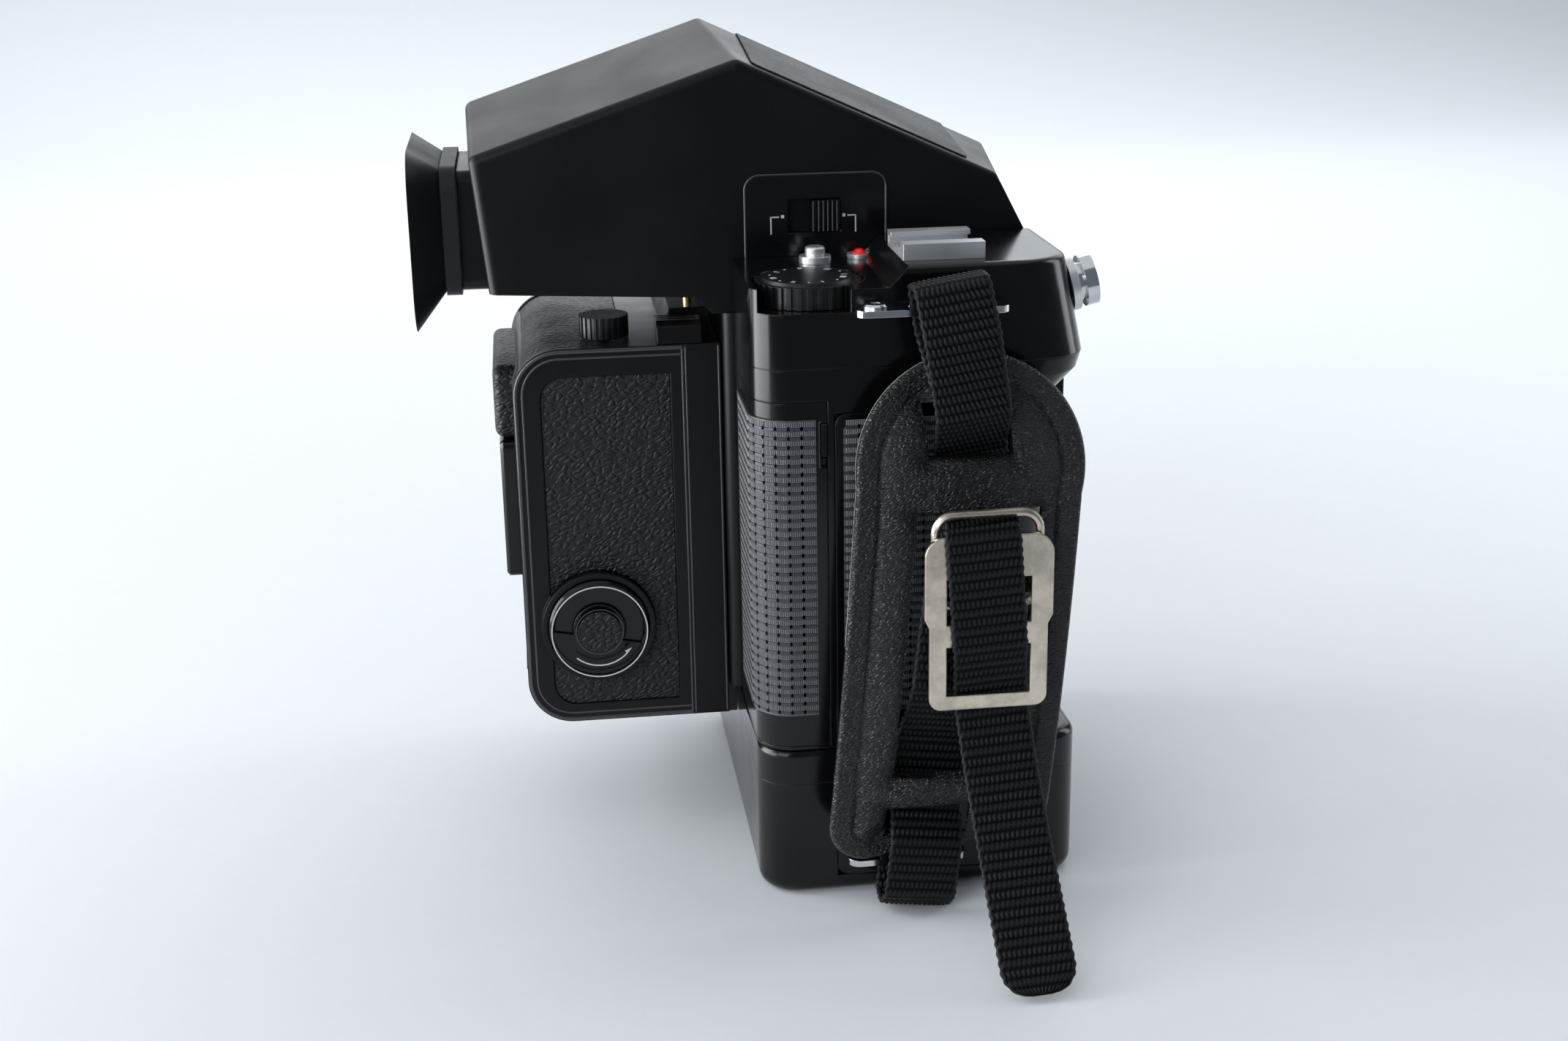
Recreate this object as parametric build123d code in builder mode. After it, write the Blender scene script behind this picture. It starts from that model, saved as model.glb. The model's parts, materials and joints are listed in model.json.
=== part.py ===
from build123d import *
import math
import os

# Medium format reflex camera with a motor grip, a prism finder and a film magazine.
# Sizes are in millimetres. +X points out of the lens mount, +Y to the photographer's left, +Z up.
# The origin is the mouth of the tripod socket, in the middle of the base's underside.

# Clearances between pieces
seat_gap = 0.15
run_gap = 0.05
free_gap = 0.3

# Camera body
body_width = 80.0
body_rear_overhang = 3.0
body_front_overhang = 2.0
body_top_rise = 102.5
body_corner = 3.0
lens_axis_rise = 43.5
chamber_width = 62.0
chamber_floor_rise = 9.5
chamber_roof = 12.0
chamber_wall = 3.0
gate_size = 56.0
screen_size = 60.0
screen_thickness = 3.0
screen_ledge = 2.5
screen_ledge_height = 3.0
screen_x = 3.0
front_panel_thickness = 3.0
front_panel_drop = 3.0
front_panel_corner = 5.0
mount_bore = 31.0
mount_flange = 36.5
mount_flange_height = 2.5
mount_sleeve_wall = 1.9
mount_sleeve_depth = 4.0
bayonet_reach = 2.5
bayonet_height = 1.5
bayonet_width = 22.0
bayonet_relief = 0.6
bayonet_clear = 0.2
screw_radius = 1.2
screw_length = 4.6
panel_screw_y = 34.0
panel_screw_rises = (6.0, 94.0)
button_y = 33.0
button_rise = 16.5
button_radius = 3.0
button_stand = 1.2
button_travel = 0.9
side_leather_rear_ahead = 6.0
side_leather_front_setback = 15.0
side_leather_low_rise = 5.5
side_leather_drop = 7.0
stud_setback = 6.0
stud_drop = 20.4
stud_radius = 2.8
stud_neck = 1.5
stud_height = 4.4
hook_y = 24.0
hook_width = 8.0
hook_low_rise = -12.0
hook_nose_top_rise = -9.2
hook_reach = 4.0

# Mirror and light baffle
mirror_hinge_ahead = 8.0
mirror_hinge_drop = 4.0
mirror_length = 74.0
mirror_width = 56.0
mirror_holder_thickness = 1.6
mirror_glass_thickness = 1.2
mirror_angle = 45.0
baffle_hinge_ahead = 4.7
baffle_hinge_drop = 13.0
baffle_length = 62.0
baffle_width = 58.0
baffle_thickness = 1.2
pivot_radius = 1.0

# Motor base and grip column
base_length = 82.0
base_height = 31.0
base_cover_height = 9.5
base_wall = 3.2
base_floor = 3.0
base_corner = 9.0
base_bottom_round = 4.0
base_cover_round = 2.5
grip_width = 44.0
column_setback = 8.0
column_front_round = 14.0
flange_overhang = 0.5
flange_flare = 1.2
flange_low_drop = 11.0
flange_mid_drop = 4.0
housing_seam_rise = 97.5
socket_radius = 3.175
socket_depth = 8.0
socket_insert_radius = 6.0
socket_insert_height = 10.0
motor_x = -6.0
motor_inset = 17.5
motor_radius = 13.0
motor_height = 26.0
coupler_radius = 4.0
coupler_disc_radius = 7.0

# Battery bay
cell_radius = 7.1
cell_height = 50.5
cell_pitch = 14.6
cell_rows = 2
cell_columns = 3
bay_floor_rise = 25.5
bay_head_room = 9.5
cover_low_rise = 1.0
cover_seam_gap = 8.0
cover_edge_inset = 17.5
cover_wall = 2.2
cover_hinge_aside = 9.1
hinge_bead = 1.1
hinge_stub = 0.7
hinge_stub_length = 0.85
rubber_low_rise = 9.5
rubber_drop = 4.0
rubber_edge_gap = 2.8
rubber_thickness = 0.6
latch_drop = 5.2
latch_length = 8.6
latch_width = 1.4
latch_travel = 2.4

# Grip side panel
panel_rear_margin = 1.9
panel_front_margin = 1.0
panel_low = 5.0
panel_seam_gap = 11.0
panel_thickness = 1.5
panel_corner = 3.0
patch_rear_margin = 2.0
patch_front_margin = 2.5
patch_low_rise = 9.5
patch_drop = 3.0

# Top housing and its controls
housing_height = 24.0
step_height = 5.0
step_top_x = -3.5
deck_setback = 5.0
housing_wall = 3.0
dial_inset = 15.4
dial_aside = 28.5
dial_radius = 13.0
dial_pocket_depth = 10.5
dial_body_height = 5.2
dial_cap_height = 0.8
dial_cap_radius = 11.2
dial_flutes = 32
dial_flute_width = 1.3
dial_flute_depth = 0.6
dial_shaft = 3.0
check_inset = 20.0
check_aside = 8.5
check_radius = 2.5
check_collar = 4.0
lamp_x = -9.2
lamp_aside = 4.4
lamp_radius = 1.7
lamp_collar = 3.1
shutter_aside = 28.0
shutter_drop = 9.2
shutter_cap = 6.3
shutter_neck = 4.8
shutter_stem = 3.6
shutter_collar = 6.7
shutter_travel = 1.2
shoe_x = 5.9
shoe_aside = 27.2
shoe_length = 19.8
shoe_slot_width = 18.6
shoe_lip_gap = 12.6
shoe_slot_height = 2.05
shoe_plate = 0.75
shoe_lip = 1.2
shoe_wall = 1.5

# Strap lugs, webbing, pad and buckle
lug_thickness = 1.6
lug_top_drop = 10.2
lug_bottom_rise = -29.5
lug_bar = 2.0
lug_tongue = 2.9
lug_slot_near = 3.0
top_lug_reach = 9.0
top_lug_left = -17.5
top_lug_right = 19.0
bottom_lug_reach = 8.4
bottom_lug_left = -20.0
bottom_lug_right = 10.0
lug_corner = 3.0
eyelet_x = -12.5
eyelet_radius = 3.0
eyelet_height = 1.0
eyelet_bore = 1.2
webbing_width = 18.5
webbing_thickness = 1.5
top_webbing_x = 5.0
top_webbing_lean = 8.5
bottom_webbing_x = -2.9
bottom_webbing_lean = -6.5
tail_x = 12.8
tail_rise = 19.5
tail_lean = 4.2
upper_route = [(15.9, 43.5), (15.9, 50.5), (7.1, 64.0), (6.8, 78.3), (18.5, 89.5), (18.0, 107.5), (13.5, 119.5),
               (5.0, 119.5), (5.0, 108.5), (16.4, 98.0)]
lower_route = [(17.9, 55.5), (17.9, 21.5), (8.0, 4.5), (7.2, -9.5), (16.2, -20.5), (16.0, -34.5), (11.5, -38.8), (4.7, -38.2),
               (4.7, -21.5)]
tail_route = [(20.3, 54.5), (20.3, 63.2), (23.8, 63.2), (23.8, 33.5), (20.5, 22.5), (20.5, 16.5), (27, 3.5), (40, -14.5),
              (60, -38.7)]
route_round = 1.6
pad_low_left = (-26.5, -27.0)
pad_low_right = (29.0, -19.5)
pad_high_right = (36.3, 67.5)
pad_crest = (7.0, 102.0)
pad_high_left = (-18.2, 71.5)
pad_corner = 9.0
pad_back_top = 4.5
pad_back_middle = 12.5
pad_back_bottom = 8.5
pad_flange = 2.4
pad_crown = 2.2
pad_border = 7.5
pad_taper = 14.0
pad_crown_start = 3.0
pad_band_low = -40.5
pad_reach = 60.0
pad_windows = [
    ((-0.9, 77.5), (19.4, 77.5), (18.2, 90.5), (-2.4, 90.5)),
    ((-10.2, -3.0), (19.0, -3.0), (26.5, 64.5), (-3.8, 64.5)),
    ((-12.2, -19.5), (8.8, -19.5), (9.8, -11.5), (-11.4, -11.5)),
]
buckle_x = 11.5
buckle_low_rise = 18.0
buckle_high_rise = 61.5
buckle_waist_rise = 40.0
buckle_width = 30.9
buckle_foot_width = 28.6
buckle_out = 21.5
buckle_plate = 1.2
buckle_windows = ((21.5, 34.0), (39.5, 51.0))
buckle_window_width = 20.4
buckle_wire = 1.1
wire_sides = 8
wire_out = 20.0
wire_low_rise = 43.5
wire_high_rise = 66.1
wire_width = 25.1
wire_corner = 4.5

# Film magazine
magazine_width = 76.0
magazine_front_behind = 0.3
magazine_frame_depth = 9.7
magazine_rear_behind = 54.0
magazine_floor_rise = -8.0
magazine_top_drop = 8.0
magazine_round = 12.0
magazine_wall = 2.2
magazine_side_wall = 2.8
film_gate = 57.0
leather_thickness = 0.8
leather_recess = 1.2
leather_front_behind = 13.5
leather_rear_behind = 47.0
leather_low_rise = -3.0
leather_drop = 7.3
leather_round = 6.0
top_leather_front_behind = 25.0
door_low_rise = 5.5
door_drop = 6.0
door_width = 66.6
door_thickness = 3.4
door_gap = 0.3
door_barrel = 1.1
door_pin = 0.5
door_barrel_half = 28.0
door_ear = 2.6
door_foot_bevel = 1.2
bulge_low_rise = 68.1
bulge_drop = 1.0
bulge_width = 52.0
bulge_depth = 5.0
bulge_round = 2.4
memo_low_rise = 29.5
memo_high_rise = 67.5
memo_width = 50.0
memo_depth = 4.1
memo_rim = 3.0
memo_slot = 1.4
memo_bevel = 0.8
spool_length = 65.5
spool_flange = 12.6
spool_flange_thickness = 1.6
spool_core = 6.0
spool_hole = 2.4
spool_pin = 3.0
spool_side_gap = 0.45
spool_behind = 34.6
supply_drop = 27.0
takeup_rise = 19.5
insert_cheek = 1.6
insert_shoulder = 16.0
insert_set_in = 8.0
insert_head_gap = 3.0
knob_radius = 15.0
knob_face_radius = 13.2
knob_stand = 3.5
bezel_stand = 2.4
knob_shaft = 4.0
key_inner = 7.1
key_outer = 11.7
key_thickness = 1.4
key_tilt = -10.7
key_axis_drop = 1.5
key_pocket_depth = 2.3
key_gap = 0.3
key_pin = 0.5
key_pin_length = 0.9
slide_thickness = 0.6
slide_low_rise = 12.5
slide_high_rise = 74.5
slide_handle = 6.0
slide_behind = 3.2
release_left_behind = 16.5
release_right_behind = 5.0
release_near = -37.6
release_far = -28.8
release_height = 6.0
release_travel = 2.2
release_stem = 1.2
release_stem_reach = 5.0
release_ribs = 3
block_half = 26.0
block_rear_behind = 14.0
block_front_behind = 2.0
wheel_behind = 29.5
wheel_y = -24.0
wheel_radius = 6.5
wheel_height = 5.5
wheel_flutes = 24
wheel_axle = 1.5
top_leather_half = 36.0
bridge_block_height = 7.0

# Prism finder
finder_side_margin = 0.7
finder_rear_low = (-102.25, 7.0)
finder_rear_high = (-105.7, 41.8)
finder_heel = (-50.7, 4.3)
finder_toe_x = -46.2
finder_front = 44.5
finder_blank_rise = 92.0
rear_roof_point = (-74.9, 60.75)
rear_roof_rise = 0.33
rear_roof_fall = 0.249
front_roof_point = (-34.2, 65.9)
front_roof_rise = -0.4585
front_roof_fall = 0.121
nose_point = (38.8, 22.0)
nose_slope = 1.92
nose_sweep = 0.154
finder_edge_round = 2.4
roof_cover_rear = -34.4
roof_cover_front = 20.5
roof_cover_margin = 3.3
roof_cover_thickness = 0.5
plate_left = -37.7
plate_right = -1.2
plate_low_rise = 3.0
plate_high_rise = 35.0
plate_thickness = 0.5
plate_corner = 4.0
slot_left = -26.6
slot_right = -13.1
slot_low_rise = 19.9
slot_high_rise = 28.4
slot_depth = 2.6
mode_knob_width = 7.0
mode_knob_stand = 1.2
glass_margin = 11.3
glass_rear = 28.0
glass_front = 32.0
glass_lift = 0.5
glass_front_rise = 17.0
glass_brow = 6.0
glass_brow_rise = 28.0
glass_crest = 12.0
glass_height = 46.0
glass_rear_rise = 42.0
glass_foot_rise = 10.0
tunnel_width = 30.0
tunnel_height = 20.0
tunnel_rise = 20.0
eyepiece_width = 42.0
eyepiece_height = 31.0
eyepiece_face = -109.2
eyepiece_seat = -101.5
collar_width = 46.0
collar_height_out = 33.5
collar_depth = 4.0
rim_width = 60.0
rim_height = 47.0
rim_rise = 17.5
rim_face = -121.5
rim_corner = 12.0
eyecup_wall = 1.8
contact_pin_x = -52.0
contact_pin_y = -30.0
contact_pin_radius = 1.1
contact_pin_stand = 0.2
contact_pin_length = 6.4

# Derived reference planes
body_floor = base_height + base_cover_height
body_half = body_width / 2
base_half = base_length / 2
body_rear = -base_half - body_rear_overhang
body_front = base_half + body_front_overhang
body_depth = body_front - body_rear
body_mid_x = (body_front + body_rear) / 2
front_face = body_front + front_panel_thickness
grip_outer = -body_half - grip_width
base_width = body_width + grip_width
base_mid_y = (body_half + grip_outer) / 2
housing_inner = -body_half - free_gap
magazine_half = magazine_width / 2
finder_width = body_width - 2 * finder_side_margin
finder_half = finder_width / 2
body_top = body_floor + body_top_rise
finder_base = body_top
lens_axis_z = body_floor + lens_axis_rise
chamber_floor = body_floor + chamber_floor_rise
chamber_top = body_top - chamber_roof
front_panel_top = body_top - front_panel_drop
button_z = body_floor + button_rise
side_leather_rear = body_rear + side_leather_rear_ahead
side_leather_front = body_front - side_leather_front_setback
side_leather_low = body_floor + side_leather_low_rise
side_leather_high = body_top - side_leather_drop
stud_x = body_front - stud_setback
stud_z = body_top - stud_drop
hook_low = body_floor + hook_low_rise
hook_nose_top = body_floor + hook_nose_top_rise
mirror_hinge_x = body_rear + mirror_hinge_ahead
mirror_hinge_z = chamber_top - mirror_hinge_drop
baffle_hinge_x = body_rear + baffle_hinge_ahead
baffle_hinge_z = chamber_top - baffle_hinge_drop
column_front = base_half - column_setback
flange_front = base_half + flange_overhang
housing_seam = body_floor + housing_seam_rise
flange_low = housing_seam - flange_low_drop
flange_mid = housing_seam - flange_mid_drop
motor_y = body_half - motor_inset
bay_floor = body_floor + bay_floor_rise
bay_top = bay_floor + cell_height + bay_head_room
cover_low = body_floor + cover_low_rise
cover_high = housing_seam - cover_seam_gap
cover_edge_x = cover_edge_inset - base_half
cover_hinge_y = -body_half - cover_hinge_aside
rubber_low = body_floor + rubber_low_rise
rubber_edge_x = cover_edge_x - rubber_edge_gap
rubber_high = cover_high - rubber_drop
latch_top = cover_high - latch_drop
panel_left = cover_edge_x + panel_rear_margin
panel_right = column_front - column_front_round - panel_front_margin
panel_high = housing_seam - panel_seam_gap
patch_left = panel_left + patch_rear_margin
patch_right = panel_right - patch_front_margin
patch_low = body_floor + patch_low_rise
patch_high = panel_high - patch_drop
deck_z = housing_seam + housing_height
rear_deck_z = deck_z - step_height
deck_front = flange_front - deck_setback
dial_x = dial_inset - base_half
dial_y = -body_half - dial_aside
dial_floor = deck_z - dial_pocket_depth
check_x = check_inset - base_half
check_y = -body_half - check_aside
lamp_y = -body_half - lamp_aside
shutter_y = -body_half - shutter_aside
shutter_z = deck_z - shutter_drop
shoe_y = -body_half - shoe_aside
lug_top_z = deck_z - lug_top_drop
lug_bottom_z = body_floor + lug_bottom_rise
tail_z = body_floor + tail_rise
buckle_low = body_floor + buckle_low_rise
buckle_high = body_floor + buckle_high_rise
buckle_waist = body_floor + buckle_waist_rise
wire_low = body_floor + wire_low_rise
wire_high = body_floor + wire_high_rise
magazine_front = body_rear - magazine_front_behind
magazine_rear = body_rear - magazine_rear_behind
magazine_floor = body_floor + magazine_floor_rise
magazine_top = body_top - magazine_top_drop
leather_front = body_rear - leather_front_behind
leather_rear = body_rear - leather_rear_behind
leather_low = body_floor + leather_low_rise
leather_high = magazine_top - leather_drop
top_leather_front = body_rear - top_leather_front_behind
door_low = body_floor + door_low_rise
door_high = magazine_top - door_drop
bulge_low = body_floor + bulge_low_rise
bulge_high = door_high - bulge_drop
memo_low = body_floor + memo_low_rise
memo_high = body_floor + memo_high_rise
spool_x = body_rear - spool_behind
supply_z = magazine_top - supply_drop
takeup_z = body_floor + takeup_rise
slide_low = body_floor + slide_low_rise
slide_high = body_floor + slide_high_rise
slide_x = body_rear - slide_behind
release_left = body_rear - release_left_behind
release_right = body_rear - release_right_behind
release_top = magazine_top + release_height
block_rear = body_rear - block_rear_behind
block_front = body_rear - block_front_behind
wheel_x = body_rear - wheel_behind
roof_cover_width = finder_width - 2 * roof_cover_margin
plate_low = finder_base + plate_low_rise
plate_high = finder_base + plate_high_rise
slot_low = finder_base + slot_low_rise
slot_high = finder_base + slot_high_rise
glass_width = finder_width - 2 * glass_margin
tunnel_z = finder_base + tunnel_rise
rim_z = finder_base + rim_rise
contact_pin_low = finder_base - contact_pin_stand
finder_roof_z = finder_base + finder_blank_rise
panel_screw_z = [body_floor + rise for rise in panel_screw_rises]
top_tilt = math.degrees(math.atan2(flange_front - deck_front, deck_z - housing_seam))
shutter_x = flange_front - (shutter_z - housing_seam) * math.tan(math.radians(top_tilt))
shutter_plane = Plane(
    origin=(shutter_x, shutter_y, shutter_z),
    x_dir=(0, 1, 0),
    z_dir=(math.cos(math.radians(top_tilt)), 0, math.sin(math.radians(top_tilt))),
)
side_plane = Plane(origin=(0, grip_outer, 0), x_dir=(1, 0, 0), z_dir=(0, -1, 0))

os.makedirs("parts", exist_ok=True)


def write(piece, name):
    """Label a finished piece and write it as one STEP file."""
    piece.part.label = name
    export_step(piece.part, f"parts/{name}.step")


def span_box(low, high, mode=Mode.ADD):
    """A box between two opposite corners."""
    centre = tuple((a + b) / 2 for a, b in zip(low, high))
    size = tuple(b - a for a, b in zip(low, high))
    with Locations(centre):
        Box(*size, mode=mode)


def grip_plan(front, inset=0.0, inner=-body_half):
    """Plan of the grip: flat where it meets the body, rounded on its two outer corners."""
    rear = -base_half
    with BuildSketch() as plan:
        with BuildLine():
            Polyline(
                (rear + inset, inner),
                (rear + inset, grip_outer + inset),
                (front - inset, grip_outer + inset),
                (front - inset, inner),
                close=True,
            )
        make_face()
        near = plan.vertices().group_by(Axis.Y)[0].sort_by(Axis.X)
        fillet(near[0], base_corner - inset)
        near = plan.vertices().group_by(Axis.Y)[0].sort_by(Axis.X)
        fillet(near[-1], column_front_round - inset)
    return plan.sketch


def panel_cut():
    """Recess of the grip side panel, through whatever it crosses."""
    depth = panel_thickness + seat_gap
    low = (panel_left - seat_gap, grip_outer - 1, panel_low - seat_gap)
    high = (panel_right + seat_gap, grip_outer + depth, panel_high + seat_gap)
    span_box(low, high, mode=Mode.SUBTRACT)


def lug_slot(centre_x, low, half_length):
    """Slot in a wall that holds a strap lug's tongue."""
    span_box(
        (centre_x - half_length - run_gap, grip_outer - 1, low - run_gap),
        (centre_x + half_length + run_gap, grip_outer + lug_tongue + seat_gap, low + lug_thickness + run_gap),
        mode=Mode.SUBTRACT,
    )


# Base housing: the lower tray that holds the motor, under body and grip alike
socket_pocket = socket_insert_radius + run_gap
screw_points = [
    (base_half - base_corner, body_half - base_corner),
    (-base_half + base_corner, body_half - base_corner),
    (base_half - base_corner, grip_outer + 2 * base_corner),
    (-base_half + base_corner, grip_outer + 2 * base_corner),
]
screw_boss = 3.4

with BuildPart() as base_housing:
    with BuildSketch():
        with Locations((0, base_mid_y)):
            RectangleRounded(base_length, base_width, base_corner)
    extrude(amount=base_height)
    fillet(base_housing.faces().sort_by(Axis.Z)[0].edges(), base_bottom_round)
    with BuildSketch(Plane.XY.offset(base_floor)):
        with Locations((0, base_mid_y)):
            RectangleRounded(base_length - 2 * base_wall, base_width - 2 * base_wall, base_corner - base_wall)
    extrude(amount=base_height - base_floor, mode=Mode.SUBTRACT)
    with BuildSketch(Plane.XY.offset(base_floor)):
        Circle(socket_insert_radius + 3)
    extrude(amount=socket_insert_height - base_floor + 2)
    with BuildSketch(Plane.XY.offset(base_floor)):
        with Locations(*screw_points):
            Circle(screw_boss)
    extrude(amount=base_height - base_floor)
    with BuildSketch():
        Circle(socket_pocket)
    extrude(amount=socket_insert_height + run_gap, mode=Mode.SUBTRACT)
    with BuildSketch():
        with Locations(*screw_points):
            Circle(screw_radius + run_gap)
    extrude(amount=2 * base_floor, mode=Mode.SUBTRACT)
    panel_cut()
    lug_slot(bottom_webbing_x, lug_bottom_z, webbing_width / 2)
write(base_housing, "base_housing")

with BuildPart() as tripod_socket:
    with BuildSketch():
        Circle(socket_insert_radius)
        Circle(socket_radius, mode=Mode.SUBTRACT)
    extrude(amount=socket_insert_height)
    with BuildSketch(Plane.XY.offset(socket_depth)):
        Circle(socket_insert_radius)
    extrude(amount=socket_insert_height - socket_depth)
write(tripod_socket, "tripod_socket")

# Base top cover: carries the body and the column, with a passage for the drive coupler
coupler_hole = coupler_radius + free_gap
with BuildPart() as base_top_cover:
    with BuildSketch(Plane.XY.offset(base_height)):
        with Locations((0, base_mid_y)):
            RectangleRounded(base_length, base_width, base_corner)
    extrude(amount=base_cover_height)
    top_front = base_top_cover.edges().group_by(Axis.Z)[-1].sort_by(Axis.X)[-1]
    fillet(top_front, base_cover_round)
    with BuildSketch(Plane.XY.offset(base_height)):
        with Locations((motor_x, motor_y)):
            Circle(coupler_hole)
    extrude(amount=base_cover_height, mode=Mode.SUBTRACT)
    panel_cut()
write(base_top_cover, "base_top_cover")

with BuildPart() as drive_motor:
    with BuildSketch(Plane.XY.offset(base_floor)):
        with Locations((motor_x, motor_y)):
            Circle(motor_radius)
    extrude(amount=motor_height)
    chamfer(drive_motor.edges().group_by(Axis.Z)[-1], 0.8)
    with BuildSketch(Plane.XY.offset(base_floor + motor_height)):
        with Locations((motor_x, motor_y)):
            Circle(coupler_radius + 2)
            Circle(coupler_radius / 2 + run_gap, mode=Mode.SUBTRACT)
    extrude(amount=1.0)
    with BuildSketch(Plane.XY.offset(base_floor + motor_height - 4)):
        with Locations((motor_x, motor_y)):
            Circle(coupler_radius / 2 + run_gap)
    extrude(amount=4, mode=Mode.SUBTRACT)
write(drive_motor, "drive_motor")

# Drive coupler: the motor's output shaft with a two-jaw dog under the body
coupler_low = base_floor + motor_height - 3.5
coupler_shoulder = base_floor + motor_height + 1 + seat_gap
coupler_top = body_floor + 3.2
with BuildPart() as drive_coupler:
    with BuildSketch(Plane.XY.offset(coupler_low)):
        with Locations((motor_x, motor_y)):
            Circle(coupler_radius / 2)
    extrude(amount=coupler_shoulder - coupler_low)
    with BuildSketch(Plane.XY.offset(coupler_shoulder)):
        with Locations((motor_x, motor_y)):
            Circle(coupler_radius)
    extrude(amount=coupler_top - coupler_shoulder)
    with BuildSketch(Plane.XY.offset(coupler_top - 2)):
        with Locations((motor_x, motor_y)):
            Rectangle(3 * coupler_radius, coupler_radius / 2)
    extrude(amount=2, mode=Mode.SUBTRACT)
write(drive_coupler, "drive_coupler")

# Grip column: rises from the base, flares under the top housing and holds the battery bay
cell_y0 = -body_half - 11 - cell_radius - free_gap
bay_near = cell_y0 - (cell_rows - 1) * cell_pitch - cell_radius - free_gap
bay_far = cell_y0 + cell_radius + free_gap
cell_x0 = -base_half + cover_wall + free_gap + 1 + cell_radius
bay_front = cell_x0 + (cell_columns - 1) * cell_pitch + cell_radius + 2
cover_recess = cover_wall + seat_gap
hinge_x = -base_half + hinge_bead

with BuildPart() as grip_column:
    with BuildSketch(Plane.XY.offset(body_floor)):
        add(grip_plan(column_front))
    extrude(amount=flange_low - body_floor)
    with BuildSketch(Plane.XY.offset(flange_low)):
        add(grip_plan(column_front))
    with BuildSketch(Plane.XY.offset(flange_mid)):
        add(grip_plan(flange_front - flange_flare))
    loft(ruled=True)
    with BuildSketch(Plane.XY.offset(flange_mid)):
        add(grip_plan(flange_front - flange_flare))
    with BuildSketch(Plane.XY.offset(housing_seam)):
        add(grip_plan(flange_front))
    loft(ruled=True)
    # recess and bay behind the battery cover
    with BuildSketch(Plane.XY.offset(cover_low - seat_gap)):
        with Locations((-base_half - 1, grip_outer - 1)):
            Rectangle(
                cover_edge_x + seat_gap + base_half + 1,
                cover_hinge_y - grip_outer + 1,
                align=(Align.MIN, Align.MIN),
            )
        add(grip_plan(column_front, cover_recess), mode=Mode.SUBTRACT)
        with Locations((hinge_x, cover_hinge_y)):
            Circle(hinge_bead + 2 * seat_gap)
    extrude(amount=cover_high - cover_low + 2 * seat_gap, mode=Mode.SUBTRACT)
    span_box((hinge_x, bay_near, bay_floor), (bay_front, bay_far, bay_top), mode=Mode.SUBTRACT)
    span_box(
        (hinge_x, grip_outer + cover_wall, bay_floor),
        (cover_edge_x - 1.5, bay_far, bay_top),
        mode=Mode.SUBTRACT,
    )
    with BuildSketch(Plane.XY.offset(cover_low - hinge_stub_length - seat_gap)):
        with Locations((hinge_x, cover_hinge_y)):
            Circle(hinge_stub + run_gap)
    extrude(amount=cover_high - cover_low + 2 * (hinge_stub_length + seat_gap), mode=Mode.SUBTRACT)
    panel_cut()
write(grip_column, "grip_column")

# Battery cover: wraps the rear corner of the column and swings on its inner rear edge
with BuildPart() as battery_cover:
    with BuildSketch(Plane.XY.offset(cover_low)):
        with Locations((-base_half, grip_outer)):
            Rectangle(
                cover_edge_x + base_half,
                cover_hinge_y - grip_outer,
                align=(Align.MIN, Align.MIN),
            )
        add(grip_plan(column_front), mode=Mode.INTERSECT)
        add(grip_plan(column_front, cover_wall), mode=Mode.SUBTRACT)
        with Locations((hinge_x, cover_hinge_y)):
            Circle(hinge_bead)
    extrude(amount=cover_high - cover_low)
    with BuildSketch(Plane.XY.offset(cover_low - hinge_stub_length)):
        with Locations((hinge_x, cover_hinge_y)):
            Circle(hinge_stub)
    extrude(amount=cover_high - cover_low + 2 * hinge_stub_length)
    latch_x = cover_edge_x - 0.7
    latch_slot_low = latch_top - latch_length - latch_travel - run_gap
    span_box(
        (latch_x - latch_width / 2 - 0.1, grip_outer - 1, latch_slot_low),
        (latch_x + 1.5, grip_outer + 1.4, latch_top + 0.1),
        mode=Mode.SUBTRACT,
    )
write(battery_cover, "battery_cover")

with BuildPart() as battery_latch:
    span_box(
        (latch_x - latch_width / 2, grip_outer - 0.3, latch_top - latch_length),
        (latch_x + latch_width / 2, grip_outer + 1.35, latch_top),
    )
    outer_edges = battery_latch.faces().sort_by(Axis.Y)[0].edges().filter_by(Axis.X)
    chamfer(outer_edges, 0.5)
write(battery_latch, "battery_latch")

# Rubber facing of the battery cover, wrapped round its corner
with BuildPart() as battery_rubber:
    with BuildSketch(Plane.XY.offset(rubber_low)):
        with Locations((-base_half - rubber_thickness, grip_outer - rubber_thickness)):
            Rectangle(
                rubber_edge_x + base_half + rubber_thickness,
                cover_hinge_y - 2 * hinge_bead - grip_outer + rubber_thickness,
                align=(Align.MIN, Align.MIN),
            )
        add(grip_plan(column_front + rubber_thickness, -rubber_thickness), mode=Mode.INTERSECT)
        add(grip_plan(column_front), mode=Mode.SUBTRACT)
    extrude(amount=rubber_high - rubber_low)
write(battery_rubber, "battery_rubber")

# Battery holder and its cells
cell_points = [
    (cell_x0 + column * cell_pitch, cell_y0 - row * cell_pitch)
    for row in range(cell_rows)
    for column in range(cell_columns)
]
cell_low = bay_floor + 3.5
cell_high = cell_low + cell_height
holder_plate = 2.0
with BuildPart() as battery_holder:
    holder_low = (cell_x0 - cell_radius, bay_near + 0.2, cell_low - holder_plate)
    holder_high = (bay_front - 0.2, bay_far - 0.2, cell_high + holder_plate)
    span_box(holder_low, holder_high)
    span_box(
        (cell_x0 - cell_radius - 1, bay_near, cell_low),
        (bay_front - 1.6, bay_far, cell_high),
        mode=Mode.SUBTRACT,
    )
    fillet(battery_holder.edges().filter_by(Axis.Z).group_by(Axis.X)[0], 2.0)
write(battery_holder, "battery_holder")

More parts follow.
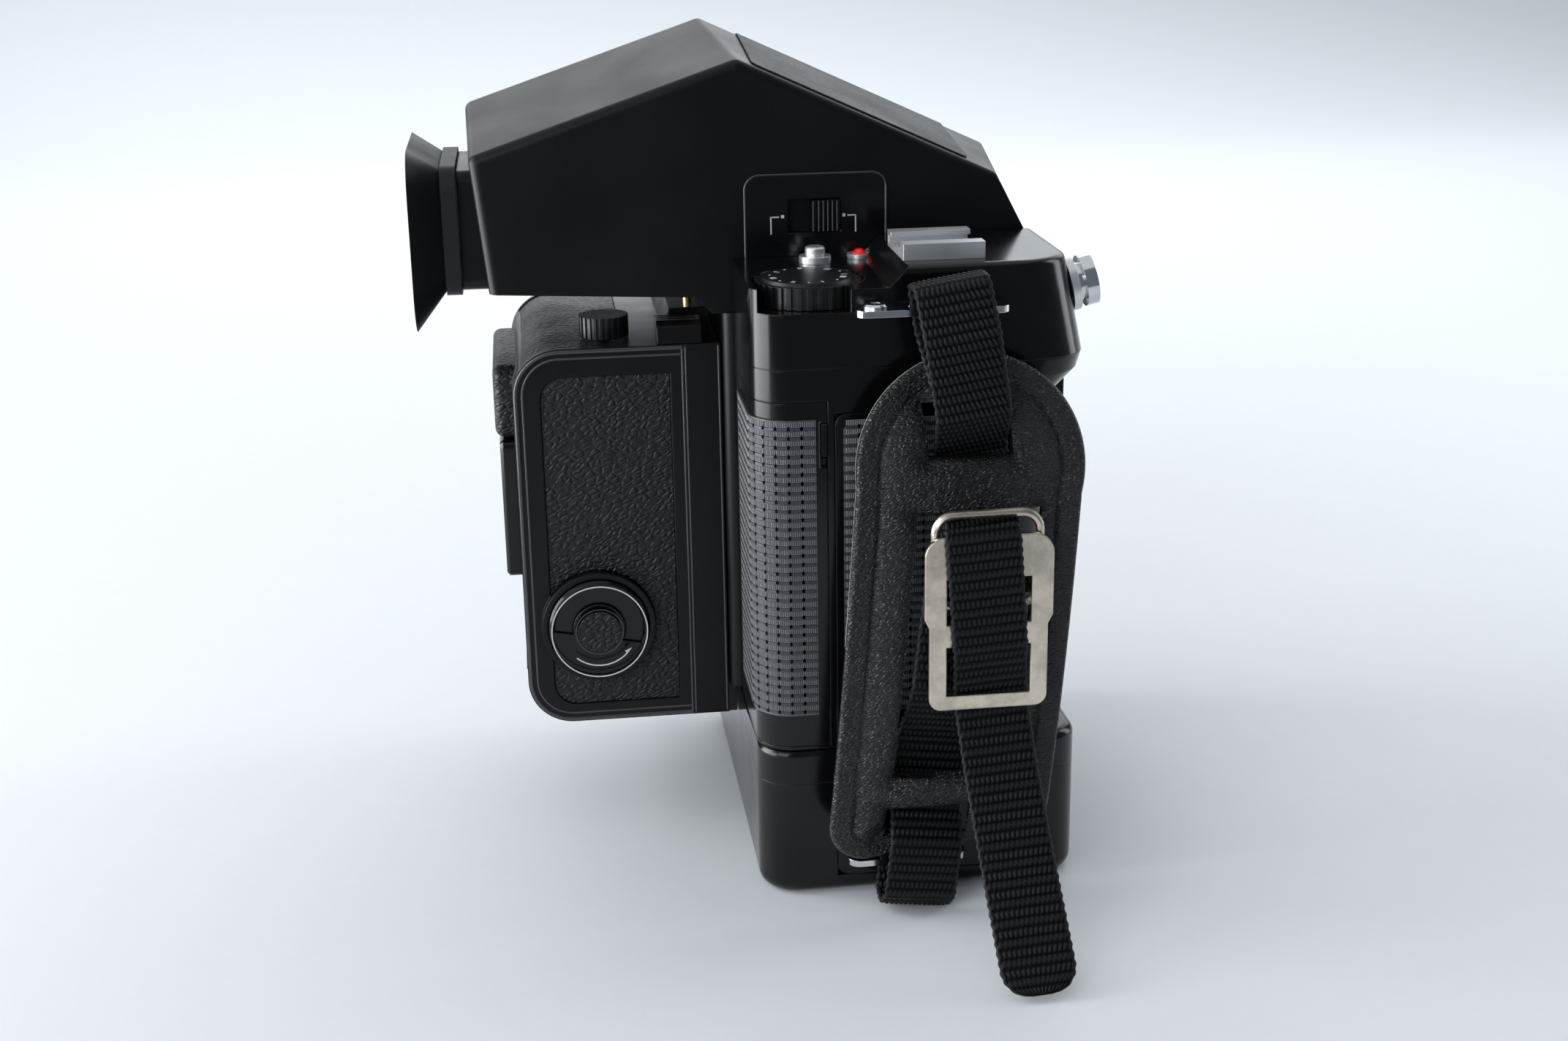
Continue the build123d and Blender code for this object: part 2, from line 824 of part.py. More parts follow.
with BuildPart() as battery_cells:
    with BuildSketch(Plane.XY.offset(cell_low)):
        with Locations(*cell_points):
            Circle(cell_radius)
    extrude(amount=cell_height - 1.5)
    with BuildSketch(Plane.XY.offset(cell_high - 1.5)):
        with Locations(*cell_points):
            Circle(cell_radius * 0.38)
    extrude(amount=1.5)
write(battery_cells, "battery_cells")

# Grip side panel with its rubber patch
with BuildPart() as grip_side_panel:
    with BuildSketch(side_plane):
        with Locations(((panel_left + panel_right) / 2, (panel_low + panel_high) / 2)):
            RectangleRounded(panel_right - panel_left, panel_high - panel_low, panel_corner)
    extrude(amount=-panel_thickness)
    lug_slot(bottom_webbing_x, lug_bottom_z, webbing_width / 2)
write(grip_side_panel, "grip_side_panel")

with BuildPart() as grip_rubber:
    with BuildSketch(side_plane):
        with Locations(((patch_left + patch_right) / 2, (patch_low + patch_high) / 2)):
            RectangleRounded(patch_right - patch_left, patch_high - patch_low, 1.0)
    extrude(amount=rubber_thickness)
write(grip_rubber, "grip_rubber")

# Top housing: sloped front, stepped rear deck, dial pocket and button seats
pocket_radius = dial_radius + 2 * free_gap
pocket_ahead = 8.0
housing_ceiling = dial_floor - 4.0
with BuildPart() as top_housing:
    with BuildSketch(Plane.XY.offset(housing_seam)):
        add(grip_plan(flange_front, inner=housing_inner))
    with BuildSketch(Plane.XY.offset(deck_z)):
        add(grip_plan(deck_front, inner=housing_inner))
    loft(ruled=True)
    deck_edges = top_housing.faces().sort_by(Axis.Z)[-1].edges()
    far_edge = deck_edges.sort_by(Axis.Y)[-1]
    fillet(deck_edges.filter_by(lambda e: e != far_edge), 2.0)
    # lower rear deck behind a slanted step
    with BuildSketch(Plane.XZ.offset(-housing_inner)):
        with BuildLine():
            Polyline(
                (-base_half - 1, rear_deck_z),
                (step_top_x - step_height, rear_deck_z),
                (step_top_x, deck_z),
                (step_top_x, deck_z + 2),
                (-base_half - 1, deck_z + 2),
                close=True,
            )
        make_face()
    extrude(amount=grip_width + 2, mode=Mode.SUBTRACT)
    # dial pocket, open towards the grip's outer side
    with BuildSketch(Plane.XY.offset(dial_floor)):
        with Locations((dial_x, dial_y)):
            Circle(pocket_radius)
        with Locations((dial_x - pocket_radius, dial_y)):
            Rectangle(pocket_radius + pocket_ahead, grip_width, align=(Align.MIN, Align.MAX))
    extrude(amount=deck_z - dial_floor, mode=Mode.SUBTRACT)
    with BuildSketch(Plane.XY.offset(dial_floor - 5)):
        with Locations((dial_x, dial_y)):
            Circle(dial_shaft + run_gap)
    extrude(amount=5, mode=Mode.SUBTRACT)
    # button and lamp seats
    with BuildSketch(Plane.XY.offset(rear_deck_z - 5)):
        with Locations((check_x, check_y)):
            Circle(check_radius + run_gap)
    extrude(amount=5, mode=Mode.SUBTRACT)
    with BuildSketch(Plane.XY.offset(rear_deck_z)):
        with Locations((lamp_x, lamp_y)):
            Circle(lamp_collar + free_gap)
    extrude(amount=step_height, mode=Mode.SUBTRACT)
    with BuildSketch(Plane.XY.offset(rear_deck_z - 1)):
        with Locations((lamp_x, lamp_y)):
            Circle(lamp_radius + run_gap)
    extrude(amount=1, mode=Mode.SUBTRACT)
    with BuildSketch(shutter_plane.offset(-6)):
        Circle(shutter_stem + run_gap)
    extrude(amount=6, mode=Mode.SUBTRACT)
    # hollow for the electronics
    span_box(
        (-base_half + housing_wall + 3, grip_outer + housing_wall + 3, housing_seam),
        (deck_front - 8, housing_inner - housing_wall, housing_ceiling - 2),
        mode=Mode.SUBTRACT,
    )
    lug_slot(top_webbing_x, lug_top_z, webbing_width / 2 + 2)
write(top_housing, "top_housing")

# Mode dial: fluted rim, raised cap and shaft
with BuildPart() as mode_dial:
    with BuildSketch(Plane.XY.offset(dial_floor + seat_gap)):
        with Locations((dial_x, dial_y)):
            Circle(dial_radius)
            with PolarLocations(dial_radius, dial_flutes):
                Rectangle(2 * dial_flute_depth, dial_flute_width, mode=Mode.SUBTRACT)
    extrude(amount=dial_body_height)
    with BuildSketch(Plane.XY.offset(dial_floor + seat_gap + dial_body_height)):
        with Locations((dial_x, dial_y)):
            Circle(dial_cap_radius)
    extrude(amount=dial_cap_height, taper=30)
    with BuildSketch(Plane.XY.offset(dial_floor + seat_gap)):
        with Locations((dial_x, dial_y)):
            Circle(dial_shaft)
    extrude(amount=-4.5)
write(mode_dial, "mode_dial")

with BuildPart() as check_button:
    with BuildSketch(Plane.XY.offset(rear_deck_z - 3)):
        with Locations((check_x, check_y)):
            Circle(check_radius)
    extrude(amount=7)
    chamfer(check_button.edges().group_by(Axis.Z)[-1], 0.4)
write(check_button, "check_button")

with BuildPart() as red_lamp:
    with BuildSketch(Plane.XY.offset(rear_deck_z - 1)):
        with Locations((lamp_x, lamp_y)):
            Circle(lamp_radius)
    extrude(amount=3.2)
    chamfer(red_lamp.edges().group_by(Axis.Z)[-1], lamp_radius * 0.5)
write(red_lamp, "red_lamp")

# Chromed collars round the check button, the lamp and the shutter button
collar_height = 1.7
with BuildPart() as control_collars:
    with BuildSketch(Plane.XY.offset(rear_deck_z)):
        with Locations((check_x, check_y)):
            Circle(check_collar)
            Circle(check_radius + free_gap, mode=Mode.SUBTRACT)
    extrude(amount=collar_height)
    with BuildSketch(Plane.XY.offset(rear_deck_z)):
        with Locations((lamp_x, lamp_y)):
            Circle(lamp_collar)
            Circle(lamp_radius + run_gap, mode=Mode.SUBTRACT)
    extrude(amount=1.1)
    with BuildSketch(shutter_plane):
        Circle(shutter_collar)
        Circle(shutter_neck + free_gap, mode=Mode.SUBTRACT)
    extrude(amount=2.0)
write(control_collars, "control_collars")

with BuildPart() as shutter_button:
    with BuildSketch(shutter_plane.offset(-4)):
        Circle(shutter_stem)
    extrude(amount=4 + shutter_travel + free_gap)
    with BuildSketch(shutter_plane.offset(shutter_travel + free_gap)):
        Circle(shutter_neck)
    extrude(amount=2.4)
    with BuildSketch(shutter_plane.offset(3.6)):
        Circle(shutter_cap)
    extrude(amount=3.0)
    with BuildSketch(shutter_plane.offset(6.0)):
        Circle(shutter_cap - 2.2)
    extrude(amount=0.6, mode=Mode.SUBTRACT)
write(shutter_button, "shutter_button")

# Hot shoe: chromed channel with two lips over its slot
shoe_width = shoe_slot_width + 2 * shoe_wall
shoe_lip_z = deck_z + shoe_plate + shoe_slot_height
with BuildPart() as hot_shoe:
    with BuildSketch(Plane.XY.offset(deck_z)):
        with Locations((shoe_x, shoe_y)):
            Rectangle(shoe_length, shoe_width)
    extrude(amount=shoe_plate + shoe_slot_height + shoe_lip)
    with BuildSketch(Plane.XY.offset(deck_z + shoe_plate)):
        with Locations((shoe_x, shoe_y)):
            Rectangle(shoe_length, shoe_slot_width)
    extrude(amount=shoe_slot_height, mode=Mode.SUBTRACT)
    with BuildSketch(Plane.XY.offset(shoe_lip_z)):
        with Locations((shoe_x, shoe_y)):
            Rectangle(shoe_length, shoe_lip_gap)
    extrude(amount=shoe_lip, mode=Mode.SUBTRACT)
write(hot_shoe, "hot_shoe")


def lug_plan(left, right, reach, slot_x, tongue_half):
    """Plan of a strap lug: a tongue in the wall and a slotted plate outside it."""
    slot_far = reach - lug_bar
    with BuildSketch() as plan:
        with Locations(((left + right) / 2, grip_outer - reach / 2)):
            Rectangle(right - left, reach - 2 * seat_gap)
        outer = plan.vertices().group_by(Axis.Y)[0]
        fillet(outer, lug_corner)
        with Locations((slot_x, grip_outer + lug_tongue)):
            Rectangle(2 * tongue_half, lug_tongue + lug_slot_near, align=(Align.CENTER, Align.MAX))
        with Locations((slot_x, grip_outer - (lug_slot_near + slot_far) / 2)):
            SlotOverall(webbing_width + 1.6, slot_far - lug_slot_near, mode=Mode.SUBTRACT)
    return plan.sketch


with BuildPart() as strap_lug_top:
    with BuildSketch(Plane.XY.offset(lug_top_z)):
        add(lug_plan(top_lug_left, top_lug_right, top_lug_reach, top_webbing_x, webbing_width / 2 + 2))
    extrude(amount=lug_thickness)
    eyelet_y = grip_outer - top_lug_reach / 2
    with BuildSketch(Plane.XY.offset(lug_top_z + lug_thickness)):
        with Locations((eyelet_x, eyelet_y)):
            Circle(eyelet_radius)
    extrude(amount=eyelet_height)
    chamfer(strap_lug_top.edges().group_by(Axis.Z)[-1], eyelet_height / 2)
    with BuildSketch(Plane.XY.offset(lug_top_z)):
        with Locations((eyelet_x, eyelet_y)):
            Circle(eyelet_bore)
    extrude(amount=lug_thickness + eyelet_height, mode=Mode.SUBTRACT)
write(strap_lug_top, "strap_lug_top")

with BuildPart() as strap_lug_bottom:
    with BuildSketch(Plane.XY.offset(lug_bottom_z)):
        add(lug_plan(bottom_lug_left, bottom_lug_right, bottom_lug_reach, bottom_webbing_x, webbing_width / 2))
    extrude(amount=lug_thickness)
write(strap_lug_bottom, "strap_lug_bottom")


# Webbing: each strap is one band that follows its route at right angles to the grip's side
def strap_plane(x, z, lean):
    """Plane square to a strap's width: x runs out from the grip's side, y up along the strap."""
    tilt = math.radians(lean)
    return Plane(
        origin=(x, grip_outer, z),
        x_dir=(0, -1, 0),
        z_dir=(-math.cos(tilt), 0, -math.sin(tilt)),
    )


def strap(route, x, z, lean):
    """One strap of webbing along a route of points, each a distance out and a rise."""
    points = [(out, (body_floor + rise - z) / math.cos(math.radians(lean))) for out, rise in route]
    with BuildPart() as band:
        with BuildSketch(strap_plane(x, z, lean)):
            with BuildLine():
                FilletPolyline(*points, radius=route_round)
            trace(line_width=webbing_thickness)
        extrude(amount=webbing_width / 2, both=True)
    return band


webbing_upper = strap(upper_route, top_webbing_x, lug_top_z, top_webbing_lean)
write(webbing_upper, "webbing_upper")
webbing_lower = strap(lower_route, bottom_webbing_x, lug_bottom_z, bottom_webbing_lean)
write(webbing_lower, "webbing_lower")
strap_tail = strap(tail_route, tail_x, tail_z, tail_lean)
write(strap_tail, "strap_tail")

# Buckle: a pressed plate with two windows, and a wire loop behind it
buckle_plane = side_plane.offset(buckle_out)
shoulder = (buckle_width - buckle_foot_width) / 2
with BuildPart() as buckle_frame:
    with BuildSketch(buckle_plane) as outline:
        with BuildLine():
            Polyline(
                (buckle_x - buckle_foot_width / 2, buckle_low),
                (buckle_x - buckle_foot_width / 2, buckle_waist - shoulder),
                (buckle_x - buckle_width / 2, buckle_waist + shoulder),
                (buckle_x - buckle_width / 2, buckle_high),
                (buckle_x + buckle_width / 2, buckle_high),
                (buckle_x + buckle_width / 2, buckle_waist + shoulder),
                (buckle_x + buckle_foot_width / 2, buckle_waist - shoulder),
                (buckle_x + buckle_foot_width / 2, buckle_low),
                close=True,
            )
        make_face()
        low_corners = outline.vertices().group_by(Axis.Y)[0]
        fillet(low_corners, 3.0)
        high_corners = outline.vertices().group_by(Axis.Y)[-1]
        fillet(high_corners, 5.0)
        for window_low, window_high in buckle_windows:
            with Locations((buckle_x, body_floor + (window_low + window_high) / 2)):
                Rectangle(buckle_window_width, window_high - window_low, mode=Mode.SUBTRACT)
    extrude(amount=buckle_plate)
write(buckle_frame, "buckle_frame")

with BuildPart() as buckle_loop:
    with BuildSketch(side_plane.offset(wire_out), mode=Mode.PRIVATE) as loop_outline:
        with Locations((buckle_x, (wire_low + wire_high) / 2)):
            RectangleRounded(wire_width, wire_high - wire_low, wire_corner)
    loop_path = loop_outline.sketch.wires()[0]
    with BuildSketch(Plane(origin=loop_path @ 0, z_dir=loop_path % 0)):
        RegularPolygon(buckle_wire, wire_sides)
    sweep(path=loop_path)
write(buckle_loop, "buckle_loop")


# Hand pad: a bent, crowned plate of leather with a thin stitched border and slots for the webbing
def pad_outline(inset=0.0):
    """Outline of the pad seen square to the grip's side."""
    with BuildSketch() as outline:
        with BuildLine():
            Line(pad_high_left, pad_low_left)
            Line(pad_low_left, pad_low_right)
            Line(pad_low_right, pad_high_right)
            ThreePointArc(pad_high_right, pad_crest, pad_high_left)
        make_face()
        low_corners = outline.vertices().group_by(Axis.Y)[0:2]
        fillet([vertex for group in low_corners for vertex in group], pad_corner)
        if inset:
            offset(amount=-inset, mode=Mode.REPLACE)
    return outline.sketch


def pad_band(back, front):
    """Side section of the bent pad, between two distances from its middle curve."""
    with BuildSketch() as section:
        with BuildLine():
            rear = ThreePointArc(
                (pad_back_bottom + back, pad_band_low),
                (pad_back_middle + back, (pad_low_left[1] + pad_crest[1]) / 2),
                (pad_back_top + back, pad_crest[1] + 4),
            )
            face = ThreePointArc(
                (pad_back_bottom + front, pad_band_low),
                (pad_back_middle + front, (pad_low_left[1] + pad_crest[1]) / 2),
                (pad_back_top + front, pad_crest[1] + 4),
            )
            Line(rear @ 0, face @ 0)
            Line(rear @ 1, face @ 1)
        make_face()
    return section.sketch


pad_side_plane = Plane(origin=(0, grip_outer, body_floor), x_dir=(0, -1, 0), z_dir=(-1, 0, 0))
pad_face = side_plane.offset(0)
pad_face.origin = (0, grip_outer, body_floor)
with BuildPart() as pad_crown_band:
    with BuildSketch(pad_side_plane):
        add(pad_band(-0.9, pad_flange + pad_crown))
    extrude(amount=pad_reach, both=True)
    with BuildSketch(pad_face.offset(pad_crown_start)):
        add(pad_outline(pad_border))
    extrude(amount=pad_reach / 2, taper=pad_taper, mode=Mode.INTERSECT)

with BuildPart() as hand_pad:
    with BuildSketch(pad_side_plane):
        add(pad_band(0, pad_flange))
    extrude(amount=pad_reach, both=True)
    with BuildSketch(pad_face):
        add(pad_outline())
    extrude(amount=pad_reach, mode=Mode.INTERSECT)
    add(pad_crown_band.part)
    with BuildSketch(pad_face):
        for window in pad_windows:
            with BuildLine():
                Polyline(*window, close=True)
            make_face()
    extrude(amount=pad_reach, mode=Mode.SUBTRACT)
write(hand_pad, "hand_pad")

# Camera body: mirror chamber, film gate, lens throat and screen well
throat_radius = mount_bore + mount_sleeve_wall + seat_gap
chamber_rear = body_rear + chamber_wall
gate_half = gate_size / 2
screen_seat = chamber_top + screen_ledge_height
screen_half = screen_size / 2
stud_points = [(stud_x, -body_half), (stud_x, body_half)]
panel_screws = [(y, z) for y in (-panel_screw_y, panel_screw_y) for z in panel_screw_z]
hinge_holes = [(mirror_hinge_x, mirror_hinge_z), (baffle_hinge_x, baffle_hinge_z)]
hinge_half = chamber_width / 2 + 2

with BuildPart() as body_shell:
    with BuildSketch(Plane.XY.offset(body_floor)):
        with Locations((body_mid_x, 0)):
            RectangleRounded(body_depth, body_width, body_corner)
    extrude(amount=body_top - body_floor)
    span_box(
        (chamber_rear, -chamber_width / 2, chamber_floor),
        (body_front - chamber_wall, chamber_width / 2, chamber_top),
        mode=Mode.SUBTRACT,
    )
    with BuildSketch(Plane.YZ.offset(body_front - chamber_wall)):
        with Locations((0, lens_axis_z)):
            Circle(throat_radius)
    extrude(amount=chamber_wall, mode=Mode.SUBTRACT)
    span_box(
        (body_rear, -gate_half, lens_axis_z - gate_half),
        (chamber_rear, gate_half, lens_axis_z + gate_half),
        mode=Mode.SUBTRACT,
    )
    opening_half = screen_half - screen_ledge
    span_box(
        (screen_x - opening_half, -opening_half, chamber_top),
        (screen_x + opening_half, opening_half, screen_seat),
        mode=Mode.SUBTRACT,
    )
    well_half = screen_half + free_gap
    span_box(
        (screen_x - well_half, -well_half, screen_seat),
        (screen_x + well_half, well_half, body_top),
        mode=Mode.SUBTRACT,
    )
    with BuildSketch(Plane.XZ.offset(-hinge_half - run_gap)):
        with Locations(*hinge_holes):
            Circle(pivot_radius + run_gap)
    extrude(amount=2 * (hinge_half + run_gap), mode=Mode.SUBTRACT)
    with BuildSketch(Plane.XY.offset(body_floor)):
        with Locations((motor_x, motor_y)):
            Circle(coupler_hole)
    extrude(amount=coupler_top - body_floor + free_gap, mode=Mode.SUBTRACT)
    with BuildSketch(Plane.YZ.offset(body_front)):
        with Locations(*panel_screws):
            Circle(screw_radius + run_gap)
        with Locations((button_y, button_z)):
            Circle(button_radius + run_gap)
    extrude(amount=-chamber_wall, mode=Mode.SUBTRACT)
write(body_shell, "body_shell")

panel_low_edge = body_floor + 0.7
with BuildPart() as front_panel:
    with BuildSketch(Plane.YZ.offset(body_front)):
        with Locations((0, (front_panel_top + panel_low_edge) / 2)):
            RectangleRounded(body_width - 1.0, front_panel_top - panel_low_edge, front_panel_corner)
        with Locations((0, lens_axis_z)):
            Circle(throat_radius, mode=Mode.SUBTRACT)
        with Locations(*panel_screws):
            Circle(screw_radius + run_gap, mode=Mode.SUBTRACT)
        with Locations((button_y, button_z)):
            Circle(button_radius + run_gap, mode=Mode.SUBTRACT)
    extrude(amount=front_panel_thickness)
write(front_panel, "front_panel")

# Lens mount ring: flange, sleeve and three inward bayonet lips
with BuildSketch() as lip_windows:
    with Locations((0, lens_axis_z)):
        with PolarLocations(mount_bore, 3, start_angle=90):
            Rectangle(4 * bayonet_reach, bayonet_width)

with BuildPart() as lens_mount_ring:
    with BuildSketch(Plane.YZ.offset(front_face)):
        with Locations((0, lens_axis_z)):
            Circle(mount_flange)
            Circle(mount_bore, mode=Mode.SUBTRACT)
    extrude(amount=mount_flange_height)
    with BuildSketch(Plane.YZ.offset(front_face - mount_sleeve_depth)):
        with Locations((0, lens_axis_z)):
            Circle(mount_bore + mount_sleeve_wall)
            Circle(mount_bore, mode=Mode.SUBTRACT)
    extrude(amount=mount_sleeve_depth)
    # wider bore behind the mouth, where a lens's bayonet turns
    with BuildSketch(Plane.YZ.offset(front_face - mount_sleeve_depth)):
        with Locations((0, lens_axis_z)):
            Circle(mount_bore + bayonet_relief)
    extrude(amount=bayonet_height + bayonet_clear, mode=Mode.SUBTRACT)
    with BuildSketch(Plane.YZ.offset(front_face - mount_sleeve_depth)):
        with Locations((0, lens_axis_z)):
            Circle(mount_bore + mount_sleeve_wall / 2)
        add(lip_windows.sketch, mode=Mode.INTERSECT)
        with Locations((0, lens_axis_z)):
            Circle(mount_bore - bayonet_reach, mode=Mode.SUBTRACT)
    extrude(amount=bayonet_height)
write(lens_mount_ring, "lens_mount_ring")

with BuildPart() as case_screws:
    with BuildSketch(Plane.YZ.offset(front_face - 0.4)):
        with Locations(*panel_screws):
            Circle(screw_radius)
    extrude(amount=-screw_length)
    with BuildSketch(Plane.XY.offset(0.4)):
        with Locations(*screw_points):
            Circle(screw_radius)
    extrude(amount=screw_length)
write(case_screws, "case_screws")

with BuildPart() as lens_release_button:
    with BuildSketch(Plane.YZ.offset(front_face + button_stand)):
        with Locations((button_y, button_z)):
            Circle(button_radius)
    extrude(amount=-(button_stand + front_panel_thickness + chamber_wall - button_travel - free_gap))
    chamfer(lens_release_button.edges().group_by(Axis.X)[-1], 0.4)
write(lens_release_button, "lens_release_button")

with BuildPart() as body_leather:
    with BuildSketch(Plane.XZ.offset(-body_half)):
        with Locations(((side_leather_rear + side_leather_front) / 2, (side_leather_low + side_leather_high) / 2)):
            RectangleRounded(
                side_leather_front - side_leather_rear,
                side_leather_high - side_leather_low,
                body_corner,
            )
    extrude(amount=-leather_thickness)
write(body_leather, "body_leather")

# Strap studs, one on each side of the body near its front
with BuildPart() as body_strap_lugs:
    for side in (-1, 1):
        with BuildSketch(Plane(origin=(stud_x, side * body_half, stud_z), z_dir=(0, side, 0))):
            Circle(stud_radius)
        extrude(amount=0.8)
        with BuildSketch(Plane(origin=(stud_x, side * body_half, stud_z), z_dir=(0, side, 0))):
            Circle(stud_neck)
        extrude(amount=stud_height - 1)
        with BuildSketch(Plane(origin=(stud_x, side * (body_half + stud_height - 1), stud_z), z_dir=(0, side, 0))):
            Circle(stud_radius)
        extrude(amount=1)
write(body_strap_lugs, "body_strap_lugs")

# Hooks under the body's rear edge that carry the foot of the magazine
with BuildPart() as lower_hooks:
    with BuildSketch(Plane.XZ):
        with BuildLine():
            Polyline(
                (-base_half - seat_gap, body_floor),
                (body_rear, body_floor),
                (body_rear, hook_nose_top),
                (body_rear - hook_reach, hook_nose_top),
                (body_rear - hook_reach, hook_low),
                (-base_half - seat_gap, hook_low),
                close=True,
            )
        make_face()
    extrude(amount=hook_y + hook_width / 2, both=True)
    span_box(
        (body_rear - 2 * hook_reach, -hook_y + hook_width / 2, hook_low),
        (-base_half, hook_y - hook_width / 2, body_floor),
        mode=Mode.SUBTRACT,
    )
write(lower_hooks, "lower_hooks")

with BuildPart() as focusing_screen:
    with BuildSketch(Plane.XY.offset(screen_seat)):
        with Locations((screen_x, 0)):
            RectangleRounded(screen_size, screen_size, 1.0)
    extrude(amount=screen_thickness)
write(focusing_screen, "focusing_screen")

# Mirror on its holder, hinged along its upper rear edge
mirror_tilt = math.radians(mirror_angle)
mirror_plane = Plane(
    origin=(mirror_hinge_x, 0, mirror_hinge_z),
    x_dir=(math.cos(mirror_tilt), 0, -math.sin(mirror_tilt)),
    z_dir=(math.sin(mirror_tilt), 0, math.cos(mirror_tilt)),
)
with BuildPart() as mirror:
    with BuildSketch(mirror_plane.offset(-mirror_holder_thickness / 2)):
        with Locations((mirror_length / 2, 0)):
            Rectangle(mirror_length, mirror_width)
    extrude(amount=mirror_holder_thickness)
    with BuildSketch(mirror_plane.offset(mirror_holder_thickness / 2)):
        with Locations((mirror_length / 2 + 1, 0)):
            Rectangle(mirror_length - 4, mirror_width - 2)
    extrude(amount=mirror_glass_thickness)
    with BuildSketch(Plane.XZ.offset(-hinge_half)):
        with Locations((mirror_hinge_x, mirror_hinge_z)):
            Circle(pivot_radius)
    extrude(amount=2 * hinge_half)
write(mirror, "mirror")

with BuildPart() as light_baffle:
    with BuildSketch(Plane.YZ.offset(baffle_hinge_x - baffle_thickness / 2)):
        with Locations((0, baffle_hinge_z)):
            Rectangle(baffle_width, baffle_length, align=(Align.CENTER, Align.MAX))
    extrude(amount=baffle_thickness)
    with BuildSketch(Plane.XZ.offset(-hinge_half)):
        with Locations((baffle_hinge_x, baffle_hinge_z)):
            Circle(pivot_radius)
    extrude(amount=2 * hinge_half)
write(light_baffle, "light_baffle")


# Film magazine
def magazine_profile(front, inset=0.0):
    """Side outline of the magazine, with both rear corners rounded."""
    with BuildSketch() as profile:
        with BuildLine():
            Polyline(
                (front, magazine_floor + inset),
                (magazine_rear + inset, magazine_floor + inset),
                (magazine_rear + inset, magazine_top - inset),
                (front, magazine_top - inset),
                close=True,
            )
        make_face()
        rear_corners = profile.vertices().group_by(Axis.X)[0]
        fillet(rear_corners, magazine_round - inset)
    return profile.sketch


def across(half):
    """Vertical plane facing the grip, at one distance beyond the middle on the far side."""
    return Plane.XZ.offset(-half)


def upright(distance, side):
    """Vertical plane at a distance from the middle, on the near side (-1) or the far side (1)."""
    return Plane.XZ.offset(-side * distance)


shell_front = magazine_front - magazine_frame_depth
film_half = film_gate / 2
slide_half = (slide_high - slide_low) / 2
slide_mid_z = (slide_high + slide_low) / 2
slide_far = magazine_half + 0.3
block_top = magazine_top + bridge_block_height
slider_z = (magazine_top + seat_gap + release_top) / 2
release_x = (release_left + release_right) / 2

with BuildPart() as magazine_frame:
    span_box(
        (shell_front, -magazine_half, magazine_floor),
        (magazine_front, magazine_half, magazine_top),
    )
    span_box(
        (shell_front, -film_half, lens_axis_z - film_half),
        (magazine_front, film_half, lens_axis_z + film_half),
        mode=Mode.SUBTRACT,
    )
    # dark slide slot, open on the far side
    span_box(
        (slide_x - slide_thickness / 2 - run_gap, -slide_half - run_gap, slide_low - run_gap),
        (slide_x + slide_thickness / 2 + run_gap, magazine_half, slide_high + run_gap),
        mode=Mode.SUBTRACT,
    )
    # raised coupling block on top
    with BuildSketch(across(block_half)):
        with BuildLine():
            Polyline(
                (block_rear, magazine_top),
                (block_rear + 1.5, block_top),
                (block_front, block_top),
                (block_front, magazine_top),
                close=True,
            )
        make_face()
    extrude(amount=2 * block_half)
    with BuildSketch(across(-block_half)):
        with Locations((release_x, slider_z)):
            Circle(release_stem + run_gap)
    extrude(amount=-(release_stem_reach + release_travel + 1), mode=Mode.SUBTRACT)
write(magazine_frame, "magazine_frame")



def leather_plan(inset=0.0):
    """Outline of the magazine's side leather: round at the rear, square at the front."""
    low, high = leather_low + inset, leather_high - inset
    with BuildSketch() as plan:
        with Locations((leather_rear + inset, (low + high) / 2)):
            Rectangle(leather_front - leather_rear - 2 * inset, high - low, align=(Align.MIN, Align.CENTER))
        fillet(plan.vertices().group_by(Axis.X)[0], leather_round - inset)
    return plan.sketch


bezel_low = magazine_half - leather_recess
knob_face = magazine_half + knob_stand
top_leather_low = door_high + 2 * door_gap + 0.4
hinge_axis = (magazine_rear + door_barrel - free_gap, door_low - door_barrel)

